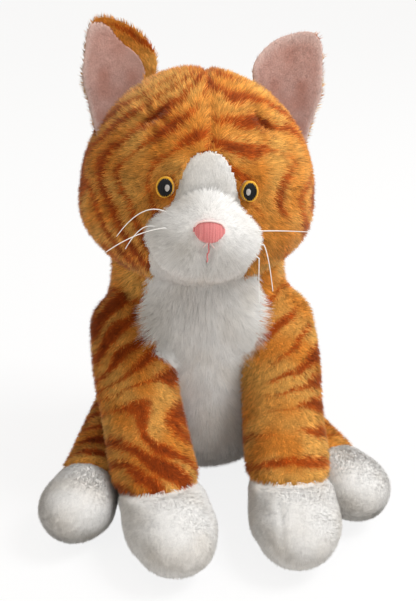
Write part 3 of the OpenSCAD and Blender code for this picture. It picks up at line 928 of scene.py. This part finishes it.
halves = {"left": lambda p: p[:, 0] >= 0, "right": lambda p: p[:, 0] < 0}
for k, (name, half) in enumerate(halves.items()):
    dress("torso_" + name + "_panel", skins["torso"], lambda p: half(p) & ~bib(p), at_torso, "tabby_plush",
          torso_dye, rides("torso"), fill=0.8, dense=0.8, length=5.6, comb=torso_comb, seed=401 + k,
          keep=torso_kept)
dress("chest_panel", skins["torso"], bib, at_torso, "white_plush", chest_with_painted_shade, rides("torso"), fill=0.8,
      stuffing=["torso_stuffing"], dense=1.3, length=chest_length, comb=chest_comb, seed=400,
      keep=torso_kept, radius=0.3, lean=chest_lean, tuft=4.5, loose=0.7, facing=chest_facing)


# Head

def face_clear(p):
    """0 in the middle of an eye, 1 on its edge and more outside it."""
    r = np.hypot((np.abs(p[:, 0]) - eye_x) / (eye_w * 0.5), (p[:, 2] - eye_z) / (eye_w * 0.56))
    return np.where(p[:, 1] < 0, r, 9.0)


def head_kept(p):
    return (face_clear(p) > 1.02) & ~muzzle.inside(p, 5) & ~torso.inside(on_head.out(p), 22)


def head_with_painted_light(p):
    x, y, z = p.T
    front = smooth(30, -30, y)
    brow = smooth(-10, 40, z)
    # way round the head from the middle of the face
    u = 92 * np.arctan2(np.abs(x), -y)
    right = between(0.95 * u - 0.25 * z, (z + 0.85 * u) / 1.3, brow)
    left = between(0.75 * u + 0.65 * z, z + 0.18 * u, brow)
    s = between(np.where(x < 0, right, left), z + 0.42 * u, smooth(100, 200, u))
    # heavier stripes on the right half are partly painted shade on that side, and fewer stripes on the crown
    # are partly painted light from above
    c = tabby(p, s, 320, 18.0, 0.1 * smooth(10, -40, x) - 0.2 * smooth(45, 80, z) * front)
    # painted shade: the pile is darker in the creases above the eyes
    u, w = crease(np.abs(x), z, 1)
    return mix(c, DARK, 0.85 * hill((u, 14), (w, 4.5)) * front)


def head_length(p):
    return 5.2 * (0.55 + 0.45 * smooth(1.0, 2.2, face_clear(p)))


def head_comb(p):
    return ways(0.010 * p[:, 0], 0.35, -0.5 + 0.009 * p[:, 2])


def blaze(p):
    return in_blaze(p) + 0.9 * noise(p, 7, 71) > 0


head_stuffings = {"left": ["head_stuffing", "neck_stuffing"], "right": []}
for k, (name, half) in enumerate(halves.items()):
    dress("head_" + name + "_panel", skins["head"], lambda p: half(p) & ~blaze(p), on_head, "tabby_plush",
          head_with_painted_light, rides("head"), fill=0.9, stuffing=head_stuffings[name], dense=1.0, length=head_length,
          comb=head_comb, seed=420 + k, keep=head_kept, lean=0.9)
dress("blaze_panel", skins["head"], blaze, on_head, "white_plush", white_dye(330), rides("head"), fill=0.9,
      dense=1.2, length=4.6, comb=(0, -0.2, -0.6), seed=422, keep=head_kept, lean=1.2, loose=0.6)


# Muzzle

def nose_edge(p):
    """Size of the nose at a point: 1 on its outline."""
    x, y, z = p.T
    z = z - nose_z
    tall = np.where(z > 0, nose_h * 0.40, nose_h * 0.62)
    return np.where(y < muzzle_y, np.hypot(x / (nose_w * 0.46), z / tall), 9.0)


def muzzle_kept(p):
    x, y, z = p.T
    mouth = (np.abs(x) < 1.2) & (z < nose_z) & (z > nose_z - nose_h * 0.5 - mouth_h) & (y < muzzle_y)
    return (nose_edge(p) > 0.98) & ~head.inside(p, 6) & ~mouth


def muzzle_length(p):
    return 6.2 * (0.45 + 0.55 * smooth(1.0, 2.4, nose_edge(p)))


def muzzle_comb(p):
    return ways(0.03 * p[:, 0], 0.35, 0.02 * (p[:, 2] - nose_z) - 0.35)


dress("muzzle_panel", skins["muzzle"], everywhere, on_head, "white_plush", white_dye(340), rides("head"),
      fill=0.9, stuffing=["muzzle_stuffing"], dense=1.25, length=muzzle_length, comb=muzzle_comb, seed=430,
      keep=muzzle_kept, radius=0.3, lean=1.0, loose=0.7)


# Forelegs, hind legs and tail

def bib_over(p):
    """Where the edge of the bib lies over the top of a foreleg. Points in the shared frame."""
    wide = np.interp(p[:, 2], [120, 128, 134, 140], [30, 38, 42, 44])
    return (p[:, 2] > 120) & (np.abs(p[:, 0]) < wide + 2.5 * noise(p, 9, 35))


def in_torso(p, pivot, axis, degrees):
    """Well inside the torso, both at rest and after a turn. Points in the shared frame."""
    return torso.inside(p, 7) & torso.inside(about(p, pivot, axis, degrees), 7)


def paw_length(c):
    """Length of a paw's pile, short beside its seam at c = 0."""
    return 0.8 + 2.5 * smooth(1, 8, c)


def dress_foreleg(s):
    name, place, body, skin = sides[s], legs[s], sides[s] + "_foreleg", skins["leg"]
    pivot = shoulder * [s, 1, 1]
    axis = unit(np.array([0.0, -cuff_reach, -shoulder[2] + paw_z]))
    bent = blends(pivot - 24 * axis, pivot + 34 * axis)
    seed = 500 + 20 * s

    def kept(p):
        q = place.out(p)
        return ~in_torso(q, pivot, "x", foreleg_lift) & ~head_in_frame(q, 14)

    def surface_colour(p):
        x, y, z = p.T
        down = (shoulder[2] - z) * 0.8 + (shoulder[1] - y) * 0.55
        low = smooth(40, 110, down)
        across = between(0.9, 0.1, low) if s > 0 else between(-0.8, 0.9, low)
        stripes = (down + across * x) / np.hypot(1, across)
        # the right foreleg's closer, heavier stripes are partly its pattern and partly painted shade on that
        # side
        return tabby(p, stripes, 350 + 7 * s, 19.5 + 1.5 * s, 0.15 - 0.25 * s)

    def over(p):
        return bib_over(place.out(p))

    dress(name + "_foreleg_sleeve", skin, lambda p: cuff_side(p) <= 0, place, "tabby_plush", surface_colour, bent,
          fill=0.85, stuffing=[name + "_foreleg_stuffing"], dense=1.0, length=5.2, comb=(0, -0.6, -0.8),
          seed=seed, keep=lambda p: kept(p) & ~over(p), lean=0.9,
          backing=lambda p: np.where(over(p)[:, None], WHITE * 1.3, surface_colour(p)))
    dress(name + "_forepaw", skin, lambda p: cuff_side(p) > 0, place, "white_plush", white_dye(360 + s),
          rides(body), fill=0.85, dense=2.0, length=lambda p: paw_length(cuff_side(p)), comb=(0, -0.5, -1),
          seed=seed + 1, keep=kept, radius=0.25, loose=0.45, ruffle=PAW_RUFFLE)
    bent(pile(name + "_bib_edge_pile", skin, over, place, "white_plush", white_dye(310), dense=1.7,
              length=11.5, comb=(0.8, -0.3, -0.7), seed=seed + 5, keep=kept, radius=0.3, lean=1.4, tuft=5.5,
              loose=1.1, facing=(0.4, -1, 0.2)))


def dress_hind_leg(s):
    name, place, body, skin = sides[s], hinds[s], sides[s] + "_hind_leg", skins["hind"]
    pivot = hip * [s, 1, 1]
    axis = unit(place.way(np.array([0.0, -1.0, 0.0])))
    middle = pivot + np.array([0, 0, 36.0])
    bent = blends(middle - 22 * axis, middle + 46 * axis)
    seed = 560 + 20 * s

    def kept(p):
        return ~in_torso(place.out(p), pivot, "z", -hind_swing * s)

    def surface_colour(p):
        return tabby(p, p[:, 1] + 0.3 * p[:, 2], 370 + 7 * s, 21.0)

    dress(name + "_thigh", skin, lambda p: p[:, 1] >= ankle_y, place, "tabby_plush", surface_colour, bent, fill=0.85,
          stuffing=[name + "_hind_stuffing"], dense=0.9, length=5.2, comb=(0, -1, -0.3), seed=seed, keep=kept,
          lean=0.9)
    dress(name + "_hind_foot", skin, lambda p: p[:, 1] < ankle_y, place, "white_plush", white_dye(380 + s),
          rides(body), fill=0.85, dense=2.0, length=lambda p: paw_length(ankle_y - p[:, 1]),
          comb=(0, -1, -0.2), seed=seed + 1, keep=kept, radius=0.25, loose=0.3, ruffle=PAW_RUFFLE)


def tail_kept(p):
    q = at_tail.out(p)
    there = [torso.inside(about(q, tail_c, "z", a), 7) for a in (tail_swing, -tail_swing)]
    return ~(there[0] & there[1])


def tail_dye(p):
    return tabby(p, p[:, 1], 390, 22.0)


for s in (1, -1):
    dress_foreleg(s)
    dress_hind_leg(s)
dress("tail_sleeve", skins["tail"], everywhere, at_tail, "tabby_plush", tail_dye,
      blends(tail_c + [0, -12, 0], tail_c + [0, 40, 0]), fill=0.85,
      stuffing=["tail_stuffing"], dense=1.0, length=5.6, comb=(0, 1, -0.2), seed=600, keep=tail_kept)


# Ears: cupped sheets with a pink lining in front and a striped back that shows round it

cup_c, cup_r = np.array([75.5, -112.0, 98.0]), 120.5
ear_root = np.array([69.5, 8.0, 66.64])
ear_up = unit(np.array([47.04, 0.0, 61.0]))
ear_mid = np.array([73.0, 72.0])


def ear_outline(inset):
    """Radius of the ear's outline round its middle, as a function of the angle."""
    discs = [(88, 122, 13), (90, 82.3, 14), (76, 26, 11), (66, 42, 12), (51, 98, 14), (62, 114, 12)]
    a = np.linspace(-np.pi, np.pi, 721)
    ray = np.stack([np.cos(a), np.sin(a)], -1)
    # support of the hull in each direction, then the nearest of its tangents along each ray
    support = np.max([(np.array([x, z]) - ear_mid) @ ray.T + r - inset for x, z, r in discs], axis=0)
    face = ray @ ray.T
    reach = np.where(face > 0.02, support[None, :] / np.maximum(face, 0.02), 1e9).min(axis=1)
    near = np.exp(-0.5 * (np.arange(-60, 61) * 0.5 / 7.0) ** 2)
    reach = np.convolve(np.concatenate([reach[-61:-1], reach, reach[1:61]]), near / near.sum(), "valid")
    return lambda t: np.interp(t, a, reach)


def ear_skin():
    edge = ear_outline(2.6)
    rings, around = 18, 64
    t = np.linspace(-np.pi, np.pi, around, endpoint=False)

    def ring(share, out):
        d = share * edge(t)
        x, z = ear_mid[0] + d * np.cos(t), ear_mid[1] + d * np.sin(t)
        y = cup_c[1] + np.sqrt(cup_r ** 2 - (x - cup_c[0]) ** 2 - (z - cup_c[2]) ** 2)
        p = np.stack([x, y, z], -1)
        return p + unit(p - cup_c) * (out * math.sqrt(max(0.0, 1 - share ** 5)))

    front, behind = -1.9, 2.6
    shares = np.sin(np.linspace(0, np.pi / 2, rings + 1))
    v = [ring(share, front) for share in shares[1:]] + [ring(share, behind) for share in shares[-2:0:-1]]
    last = (len(v) - 1) * around
    faces = [quad for o in range(0, last, around) for quad in band(o, around, flip=True)]
    tip = last + around
    faces += fan(tip, 0, around) + fan(tip + 1, last, around, flip=True)
    v, n, faces = subdivided(np.vstack(v + [ring(0.0, front)[:1], ring(0.0, behind)[:1]]), faces)
    if ((v - v.mean(axis=0)) * n).sum() < 0:
        faces = [tuple(reversed(f)) for f in faces]
        n = -n
    return v + n * (0.5 * noise(v, 26, 81))[:, None], n, faces


ear_edge = ear_outline(0.0)
ear = ear_skin()


def round_ear(p):
    """Angle round the middle of the ear, and the distance from it as a share of the outline's."""
    d = p[:, [0, 2]] - ear_mid
    t = np.arctan2(d[:, 1], d[:, 0])
    return t, np.hypot(d[:, 0], d[:, 1]) / ear_edge(t)


def ear_front(p):
    return np.linalg.norm(p - cup_c, axis=1) < cup_r - 0.2


def pink_with_painted_light(p):
    c = plain(p, PINK, PINK_LOW, 95, 12)
    # painted highlight: a paler rim round the lining; painted shade: darker towards the base of the ear
    rim = smooth(0.72, 0.92, round_ear(p)[1])[:, None]
    shade = 0.84 - 0.3 * smooth(118, 50, p[:, 2])[:, None]
    return c * shade * (1 - 0.7 * rim) + 0.7 * rim * PINK_RIM_HIGHLIGHT * (shade + 0.16)


def dress_ear(s):
    name = sides[s] + "_ear"
    place = Place(on_head.R @ np.diag([float(s), 1.0, 1.0]), on_head.t)
    bent = blends(place.out(ear_root - 2 * ear_up), place.out(ear_root + 34 * ear_up))
    # how much less of the inner edge the lining covers
    bare = 0.27 if s < 0 else -0.12
    seed = 620 + 10 * s

    def lining(p):
        t, share = round_ear(p)
        inner = smooth(1.15, 1.75, t) * smooth(3.3, 2.75, t)
        return ear_front(p) & (share < 0.93 - bare * inner + 0.02 * noise(p, 9, 82))

    def back_dye(p):
        return tabby(p, p[:, 2] * 0.9 - 0.5 * p[:, 0], 396 + s, 17.0)

    def kept(p):
        t, share = round_ear(p)
        # the lining of the left ear is turned over the inner edge
        turned = (t > 1.0) & (share > 0.9) & (s > 0)
        return ~head.inside(p, 5) & ~(turned & ~ear_front(p))

    dress(name + "_back", ear, lambda p: ~lining(p), place, "tabby_plush", back_dye, bent, thick=0.9,
          dense=1.1, length=4.6, comb=(0.35, 0.1, 1), seed=seed, keep=kept, loose=0.9)
    dress(name + "_lining", ear, lining, place, "pink_plush", pink_with_painted_light, bent, thick=0.9, dense=1.8,
          length=3.0, comb=(0.3, -0.1, 1), seed=seed + 1, keep=kept, radius=0.26, loose=0.8)


for s in (1, -1):
    dress_ear(s)


# Face: embroidered eyes, nose and mouth, and thread whiskers

def threads(name, node, paths, radii, slot, dyes, pad=None, count=6):
    """Threads along paths of points (mm, in the head's frame) as one object, in place of a node.
    The pad is a solid under them, so that no fabric shows between: points, faces and colour."""
    v, faces, colours = [], [], []
    total = 0
    a = np.arange(count) * 2 * np.pi / count
    for path, r, c in zip(paths, radii, dyes):
        path = np.asarray(path, float)
        k = len(path)
        way = unit(np.gradient(path, axis=0))
        ref = np.array([0.0, 1.0, 0.0]) if abs(way[:, 1]).mean() < 0.8 else np.array([1.0, 0.0, 0.0])
        e1 = unit(np.cross(way, ref))
        e2 = np.cross(way, e1)
        r = np.broadcast_to(r, (k,))[:, None, None]
        out = np.cos(a)[None, :, None] * e1[:, None] + np.sin(a)[None, :, None] * e2[:, None]
        v += [(path[:, None] + r * out).reshape(-1, 3)]
        v += [path[:1] - way[:1] * r[0, 0] * 0.6, path[-1:] + way[-1:] * r[-1, 0] * 0.6]
        for j in range(k - 1):
            faces += band(total + j * count, count)
        tip = total + k * count
        faces += fan(tip, total, count, flip=True) + fan(tip + 1, tip - count, count)
        total = tip + 2
        colours.append(np.tile(c, (k * count + 2, 1)))
    if pad is not None:
        v.append(pad[0])
        faces += [[i + total for i in f] for f in pad[1]]
        colours.append(np.tile(pad[2], (len(pad[0]), 1)))
    obj = mesh_object(name, on_head.out(np.vstack(v)), faces)
    finish_mesh(obj, np.vstack(colours), thread_mat[slot])
    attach(obj, "head")
    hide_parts(node)


def surface(form, x, z, inset):
    """Front point of the head or the muzzle at x and z in the head's frame."""
    x, z = np.broadcast_arrays(np.asarray(x, float), np.asarray(z, float))
    low, high = form.rows[0, 1], form.rows[-1, 1]
    v = np.clip((z - low) / (high - low), 0.02, 0.98)
    for _ in range(12):
        row, _, g = form.station(v, inset)
        t = np.arccos(np.clip(x / (g * (row[..., 2] - inset)), -0.98, 0.98))
        p = form.points(v, t, inset)
        v = np.clip(v + (z - p[..., 2]) / (high - low), 0.02, 0.98)
    return p


class Patch:
    """Flat frame laid on a form at x and z: right, up and out."""
    def __init__(self, form, x, z, inset):
        self.o = surface(form, x, z, inset)
        right = surface(form, x + 3, z, inset) - surface(form, x - 3, z, inset)
        up = surface(form, x, z + 3, inset) - surface(form, x, z - 3, inset)
        self.out = unit(np.cross(right, up))
        if self.out[1] > 0:
            self.out = -self.out
        self.right = unit(right - self.out * (right @ self.out))
        self.up = np.cross(self.right, self.out) * -1
        if self.up[2] < 0:
            self.up = -self.up

    def at(self, a, b, c):
        a, b, c = np.broadcast_arrays(np.asarray(a, float), np.asarray(b, float), np.asarray(c, float))
        return self.o + a[..., None] * self.right + b[..., None] * self.up + c[..., None] * self.out

    def dome(self, outline, foot, height, rings=8):
        """Closed pad over an outline of (a, b) points: vertices and faces."""
        a, b = outline.T
        n = len(outline)
        shares = [1 - k / rings for k in range(rings)]
        v = [self.at(a, b, foot)] + [self.at(a * f, b * f, height(f)) for f in shares]
        v = np.vstack(v + [self.at(0, 0, height(0.0))[None], self.at(0, 0, foot)[None]])
        faces = [quad for k in range(rings) for quad in band(k * n, n)]
        return v, faces + fan(len(v) - 2, rings * n, n) + fan(len(v) - 1, 0, n, flip=True)


rng = np.random.default_rng(9)
BLACK, AMBER, GREY = lin(10, 9, 10), lin(226, 168, 30), lin(190, 186, 182)
ROSE, ROSE_PALE, ROSE_LOW = lin(236, 152, 150), lin(250, 224, 220), lin(220, 126, 128)


def shades(c, count, spread=0.16):
    return [c * (1 - spread / 2 + spread * rng.random()) for _ in range(count)]


def sew_eye(s):
    name = sides[s]
    patch = Patch(head, eye_x * s, eye_z, 2.4)
    a, b, rim = eye_w * 0.4, eye_w * 0.48, 1.3
    around, stitches = 48, 100
    t = np.linspace(0, 2 * np.pi, around, endpoint=False)
    rays = np.stack([np.cos(t), np.sin(t)], -1)
    oval = rays * [a, b]

    def swell(f):
        return 0.7 + 1.5 * (1 - f ** 2)

    # gold: short stitches that run out from the pupil, wide on the cheek's side and above
    outer = 0.2 + 0.8 * smooth(-0.75, 0.35, 0.85 * np.cos(t) * s + 0.45 * np.sin(t))
    paths = []
    for k in np.linspace(0, around, stitches, endpoint=False):
        w = np.interp(k, np.arange(around + 1), np.append(outer, outer[0])) * rim
        c, h = math.cos(k * 2 * np.pi / around), math.sin(k * 2 * np.pi / around)
        r = np.linspace(-0.8, w, 4)
        paths.append(patch.at(a * c + c * r, b * h + h * r, 0.75 - 0.5 * np.clip(r / rim, 0, 1) ** 2))
    pad = patch.dome(oval + rays * (outer * rim)[:, None], -5.5, lambda f: 0.15 + 0.25 * (1 - f))
    threads(name + "_iris_stitches", name + "_iris", paths, [0.42] * len(paths), "gold_thread",
            shades(AMBER, len(paths), 0.3), (*pad, AMBER * 0.7))

    # pupil: satin stitches from edge to edge
    paths = []
    for x in np.arange(-a + 0.25, a - 0.2, 0.62):
        h = b * math.sqrt(1 - (x / a) ** 2)
        z = np.linspace(-h, h, 9)
        paths.append(patch.at(x + 0.12 * rng.normal(), z, swell(np.hypot(x / a, z / b))))
    pad = patch.dome(oval * 0.97, -5.0, lambda f: swell(f) - 0.15)
    threads(name + "_pupil_stitches", name + "_pupil", paths, [0.43] * len(paths), "black_thread",
            shades(BLACK, len(paths), 0.5), (*pad, BLACK))

    # glint: a small oval of level stitches on the nose's side
    gx, gw, gh = -0.14 * eye_w * s, 1.7, 2.5
    paths = []
    for z in np.arange(-gh + 0.2, gh, 0.55):
        h = gw * math.sqrt(1 - (z / gh) ** 2)
        x = np.linspace(-h, h, 5)
        paths.append(patch.at(gx + x, z, swell(np.hypot((gx + x) / a, z / b)) + 0.55))
    threads(name + "_glint_stitches", name + "_glint", paths, [0.36] * len(paths), "grey_thread",
            shades(GREY, len(paths)))


for s in (1, -1):
    sew_eye(s)

# nose: satin stitches from top to bottom, with a pale stitched edge above, partly a painted highlight
nose = Patch(muzzle, 0.0, nose_z, 2.2)
half = nose_w * 0.46


def nose_top(x):
    return nose_h * (0.36 - 0.10 * (np.abs(x) / half) ** 2 - 0.24 * (np.abs(x) / half) ** 8)


def nose_low(x):
    return -nose_h * 0.60 * np.maximum(0, 1 - (np.abs(x) / half) ** 2.1) ** 0.62


def nose_lift(x, z):
    return 0.7 + 2.2 * np.clip(1 - (x / half) ** 2 - (z / (nose_h * 0.62)) ** 2, 0, 1) - 0.028 * x ** 2 * 0.6


paths, tones = [], []
for x in np.arange(-half + 0.4, half - 0.3, 0.66):
    z = np.linspace(nose_low(x), nose_top(x), 9)
    paths.append(nose.at(x + 0.1 * rng.normal(), z + 0.25 * rng.normal(), nose_lift(x, z)))
    tones.append(mix(ROSE_LOW, ROSE, np.array(rng.random())))
# the pale stitch along the top edge, partly a painted highlight
x = np.linspace(-half + 0.8, half - 0.8, 30)
paths.append(nose.at(x, nose_top(x) - 0.5, nose_lift(x, nose_top(x)) + 1.0))
tones.append(ROSE_PALE)
there, back = np.linspace(-half, half, 24), np.linspace(half, -half, 24)[1:-1]
x = np.concatenate([there, back]) * 0.97
z = np.concatenate([nose_low(there), nose_top(back)]) * 0.97
pad = nose.dome(np.stack([x, z], -1), -6.0, lambda f: nose_lift(x * f, z * f) - 0.2 if f > 0 else 2.7)
threads("nose_stitches", "nose_embroidery", paths, [0.46] * (len(paths) - 1) + [0.8], "rose_thread", tones,
        (*pad, ROSE_LOW))

# mouth: one line of short stitches below the nose, and two pale ones beside its top
paths = []
low = nose_z - nose_h * 0.62
for k in range(4):
    z = low - 0.5 - np.linspace(k, k + 0.94, 6) * mouth_h / 4
    p = surface(muzzle, np.full(6, 0.5 * math.sin(k * 2.1)), z, 3.6)
    p[:, 1] -= 0.7 * np.sin(np.linspace(0, np.pi, 6))
    paths.append(p)
for side in (-1, 1):
    z = low + 1.0 - np.linspace(0, 4.5, 6)
    paths.append(surface(muzzle, side * np.linspace(0.6, 4.2, 6), z, 3.0))
threads("mouth_stitches", "mouth_embroidery", paths, [0.6] * 4 + [0.45] * 2, "rose_thread",
        [ROSE_LOW] * 4 + [ROSE_PALE] * 2)

# whiskers: rows of [ring and side of the muzzle they start at, reach sideways, rise, fall]
whisker_rows = {1: [[6, 3.5, 0.85, 0.03, 0], [5, 3.5, 0.22, -0.3, 0.5], [4, 3.5, 0.05, -0.42, 0.35]],
                -1: [[7, 3.5, 0.8, 0.3, 0.75], [6, 3.5, 0.45, 0.05, 0.45], [6, 2.5, 0.95, -0.2, 0.25]]}
for s in (1, -1):
    paths = []
    f = np.linspace(0, 1, 26)[:, None]
    for ring, side, reach, rise, fall in whisker_rows[s]:
        v = np.array((1 - math.cos(math.pi * ring / muzzle.rings)) / 2)
        t = np.array(math.pi / 2 - s * side * 2 * math.pi / muzzle.sides)
        start, sunk = muzzle.points(v, t, -0.65), muzzle.points(v, t, 6.0)
        path = start + whisker_l * np.hstack([s * reach * f, 0.16 * f - 0.2 * f * f, rise * f - fall * f * f])
        paths.append(np.vstack([sunk, (start + sunk) / 2, path]))
    taper = np.concatenate([[0.45, 0.45], np.linspace(0.45, 0.28, 26)])
    threads(sides[s] + "_whisker_threads", sides[s] + "_whiskers", paths, [taper] * 3, "whisker_thread",
            [WHITE] * 3)


# Seat: the round of fabric that closes the torso below, with its seam

seat = Place(np.eye(3), [0, 2.0, 0])
rings, around = 14, 72
t = np.linspace(0, 2 * np.pi, around, endpoint=False)
shares = [k / rings for k in range(1, rings + 1)]
v = []
for f in shares:
    z = 0.7 + 0.35 * np.sin(f * 9) * (1 - f) + 0.25 * np.cos(t * 26) * smooth(0.8, 1.0, f)
    v.append(ways(seat_r * f * np.cos(t), seat_r * f * np.sin(t), z))
for f in reversed(shares):
    v.append(ways(seat_r * f * np.cos(t), seat_r * f * np.sin(t), 2.9))
last = (len(v) - 1) * around
faces = [quad for o in range(0, last, around) for quad in band(o, around, flip=True)]
faces += [list(range(around)), list(range(last, last + around))[::-1]]
v = np.vstack(v)
cloth = mesh_object("seat_panel_fabric", seat.out(v), faces)
finish_mesh(cloth, plain(v, GOLD, RUST, 97, 14) * 0.8, cloth_mat["tabby_plush"])
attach(cloth, "torso")
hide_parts("seat_panel")


# Floor, light and camera

def seen(tree):
    """1 on rays from the camera, also after a shiny or a clear surface, and 0 on the others."""
    path = add_node(tree, "LightPath", {})
    total = path.outputs["Is Camera Ray"]
    for ray in ("Is Glossy Ray", "Is Transmission Ray"):
        both = add_node(tree, "Math", {})
        both.operation = "MAXIMUM"
        tree.links.new(total, both.inputs[0])
        tree.links.new(path.outputs[ray], both.inputs[1])
        total = both.outputs[0]
    return total


def choose(tree, share, first, second, end):
    """Shows the second shader to the share of rays, and the first to the rest."""
    both = add_node(tree, "MixShader", {})
    tree.links.new(share, both.inputs["Fac"])
    tree.links.new(first, both.inputs[1])
    tree.links.new(second, both.inputs[2])
    tree.links.new(both.outputs["Shader"], tree.nodes[end].inputs["Surface"])


corners = [(-6, -6, 0), (6, -6, 0), (6, 6, 0), (-6, 6, 0)]
floor = mesh_object("floor", np.array(corners) * 1000.0, [(0, 1, 2, 3)])
m = bpy.data.materials.new("floor")
m.use_nodes = True
tree = m.node_tree
ground = tree.nodes["Principled BSDF"]
set_inputs(ground, {"Base Color": (0.9, 0.9, 0.9, 1), "Roughness": 0.95})
glow = add_node(tree, "Emission", {"Strength": 1.0})
glow_share = add_node(tree, "Math", {1: 0.86})
glow_share.operation = "MULTIPLY"
tree.links.new(seen(tree), glow_share.inputs[0])
choose(tree, glow_share.outputs[0], ground.outputs["BSDF"], glow.outputs["Emission"], "Material Output")
floor.data.materials.append(m)

world = bpy.data.worlds.new("studio")
scene.world = world
world.use_nodes = True
tree = world.node_tree
soft = tree.nodes["Background"]
set_inputs(soft, {"Color": (1.0, 0.93, 0.84, 1), "Strength": 0.6})
white = add_node(tree, "Background", {"Color": (1, 1, 1, 1), "Strength": 1.0})
choose(tree, seen(tree), soft.outputs["Background"], white.outputs["Background"], "World Output")


def look(obj, at):
    back = unit(np.array(obj.location) - at)
    right = unit(np.cross([0.0, 0.0, 1.0], back))
    m = np.eye(4)
    m[:3] = np.stack([right, np.cross(back, right), back, obj.location], -1)
    obj.matrix_world = Matrix(m.tolist())


def lamp(name, at, watts, size, colour):
    light = bpy.data.lights.new(name, "AREA")
    light.energy, light.size, light.color = watts, size, colour
    obj = bpy.data.objects.new(name, light)
    obj.location = at
    look(obj, np.array([0.0, -0.03, 0.19]))
    scene.collection.objects.link(obj)


lamp("key", (1.2, -0.25, 1.8), 35.0, 0.8, (0.98, 0.99, 1.0))
lamp("fill", (-1.4, -1.3, 0.9), 2.0, 1.2, (1.0, 0.97, 0.94))

# the view of the photograph: angles, distance in metres, and focal length over the picture's height
azimuth, elevation, distance, focal = math.radians(-7), math.radians(24), 0.8, 920 / 601
target = np.array([0.004, -0.045, 0.169])
level = math.cos(elevation)
toward = np.array([math.sin(azimuth) * level, -math.cos(azimuth) * level, math.sin(elevation)])
camera = bpy.data.cameras.new("camera")
camera.sensor_width = 36.0
camera.lens = focal * camera.sensor_width
camera.clip_start = 0.01
cam = bpy.data.objects.new("camera", camera)
cam.location = target + distance * toward
look(cam, target)
scene.collection.objects.link(cam)
scene.camera = cam
scene.view_settings.view_transform = "Standard"
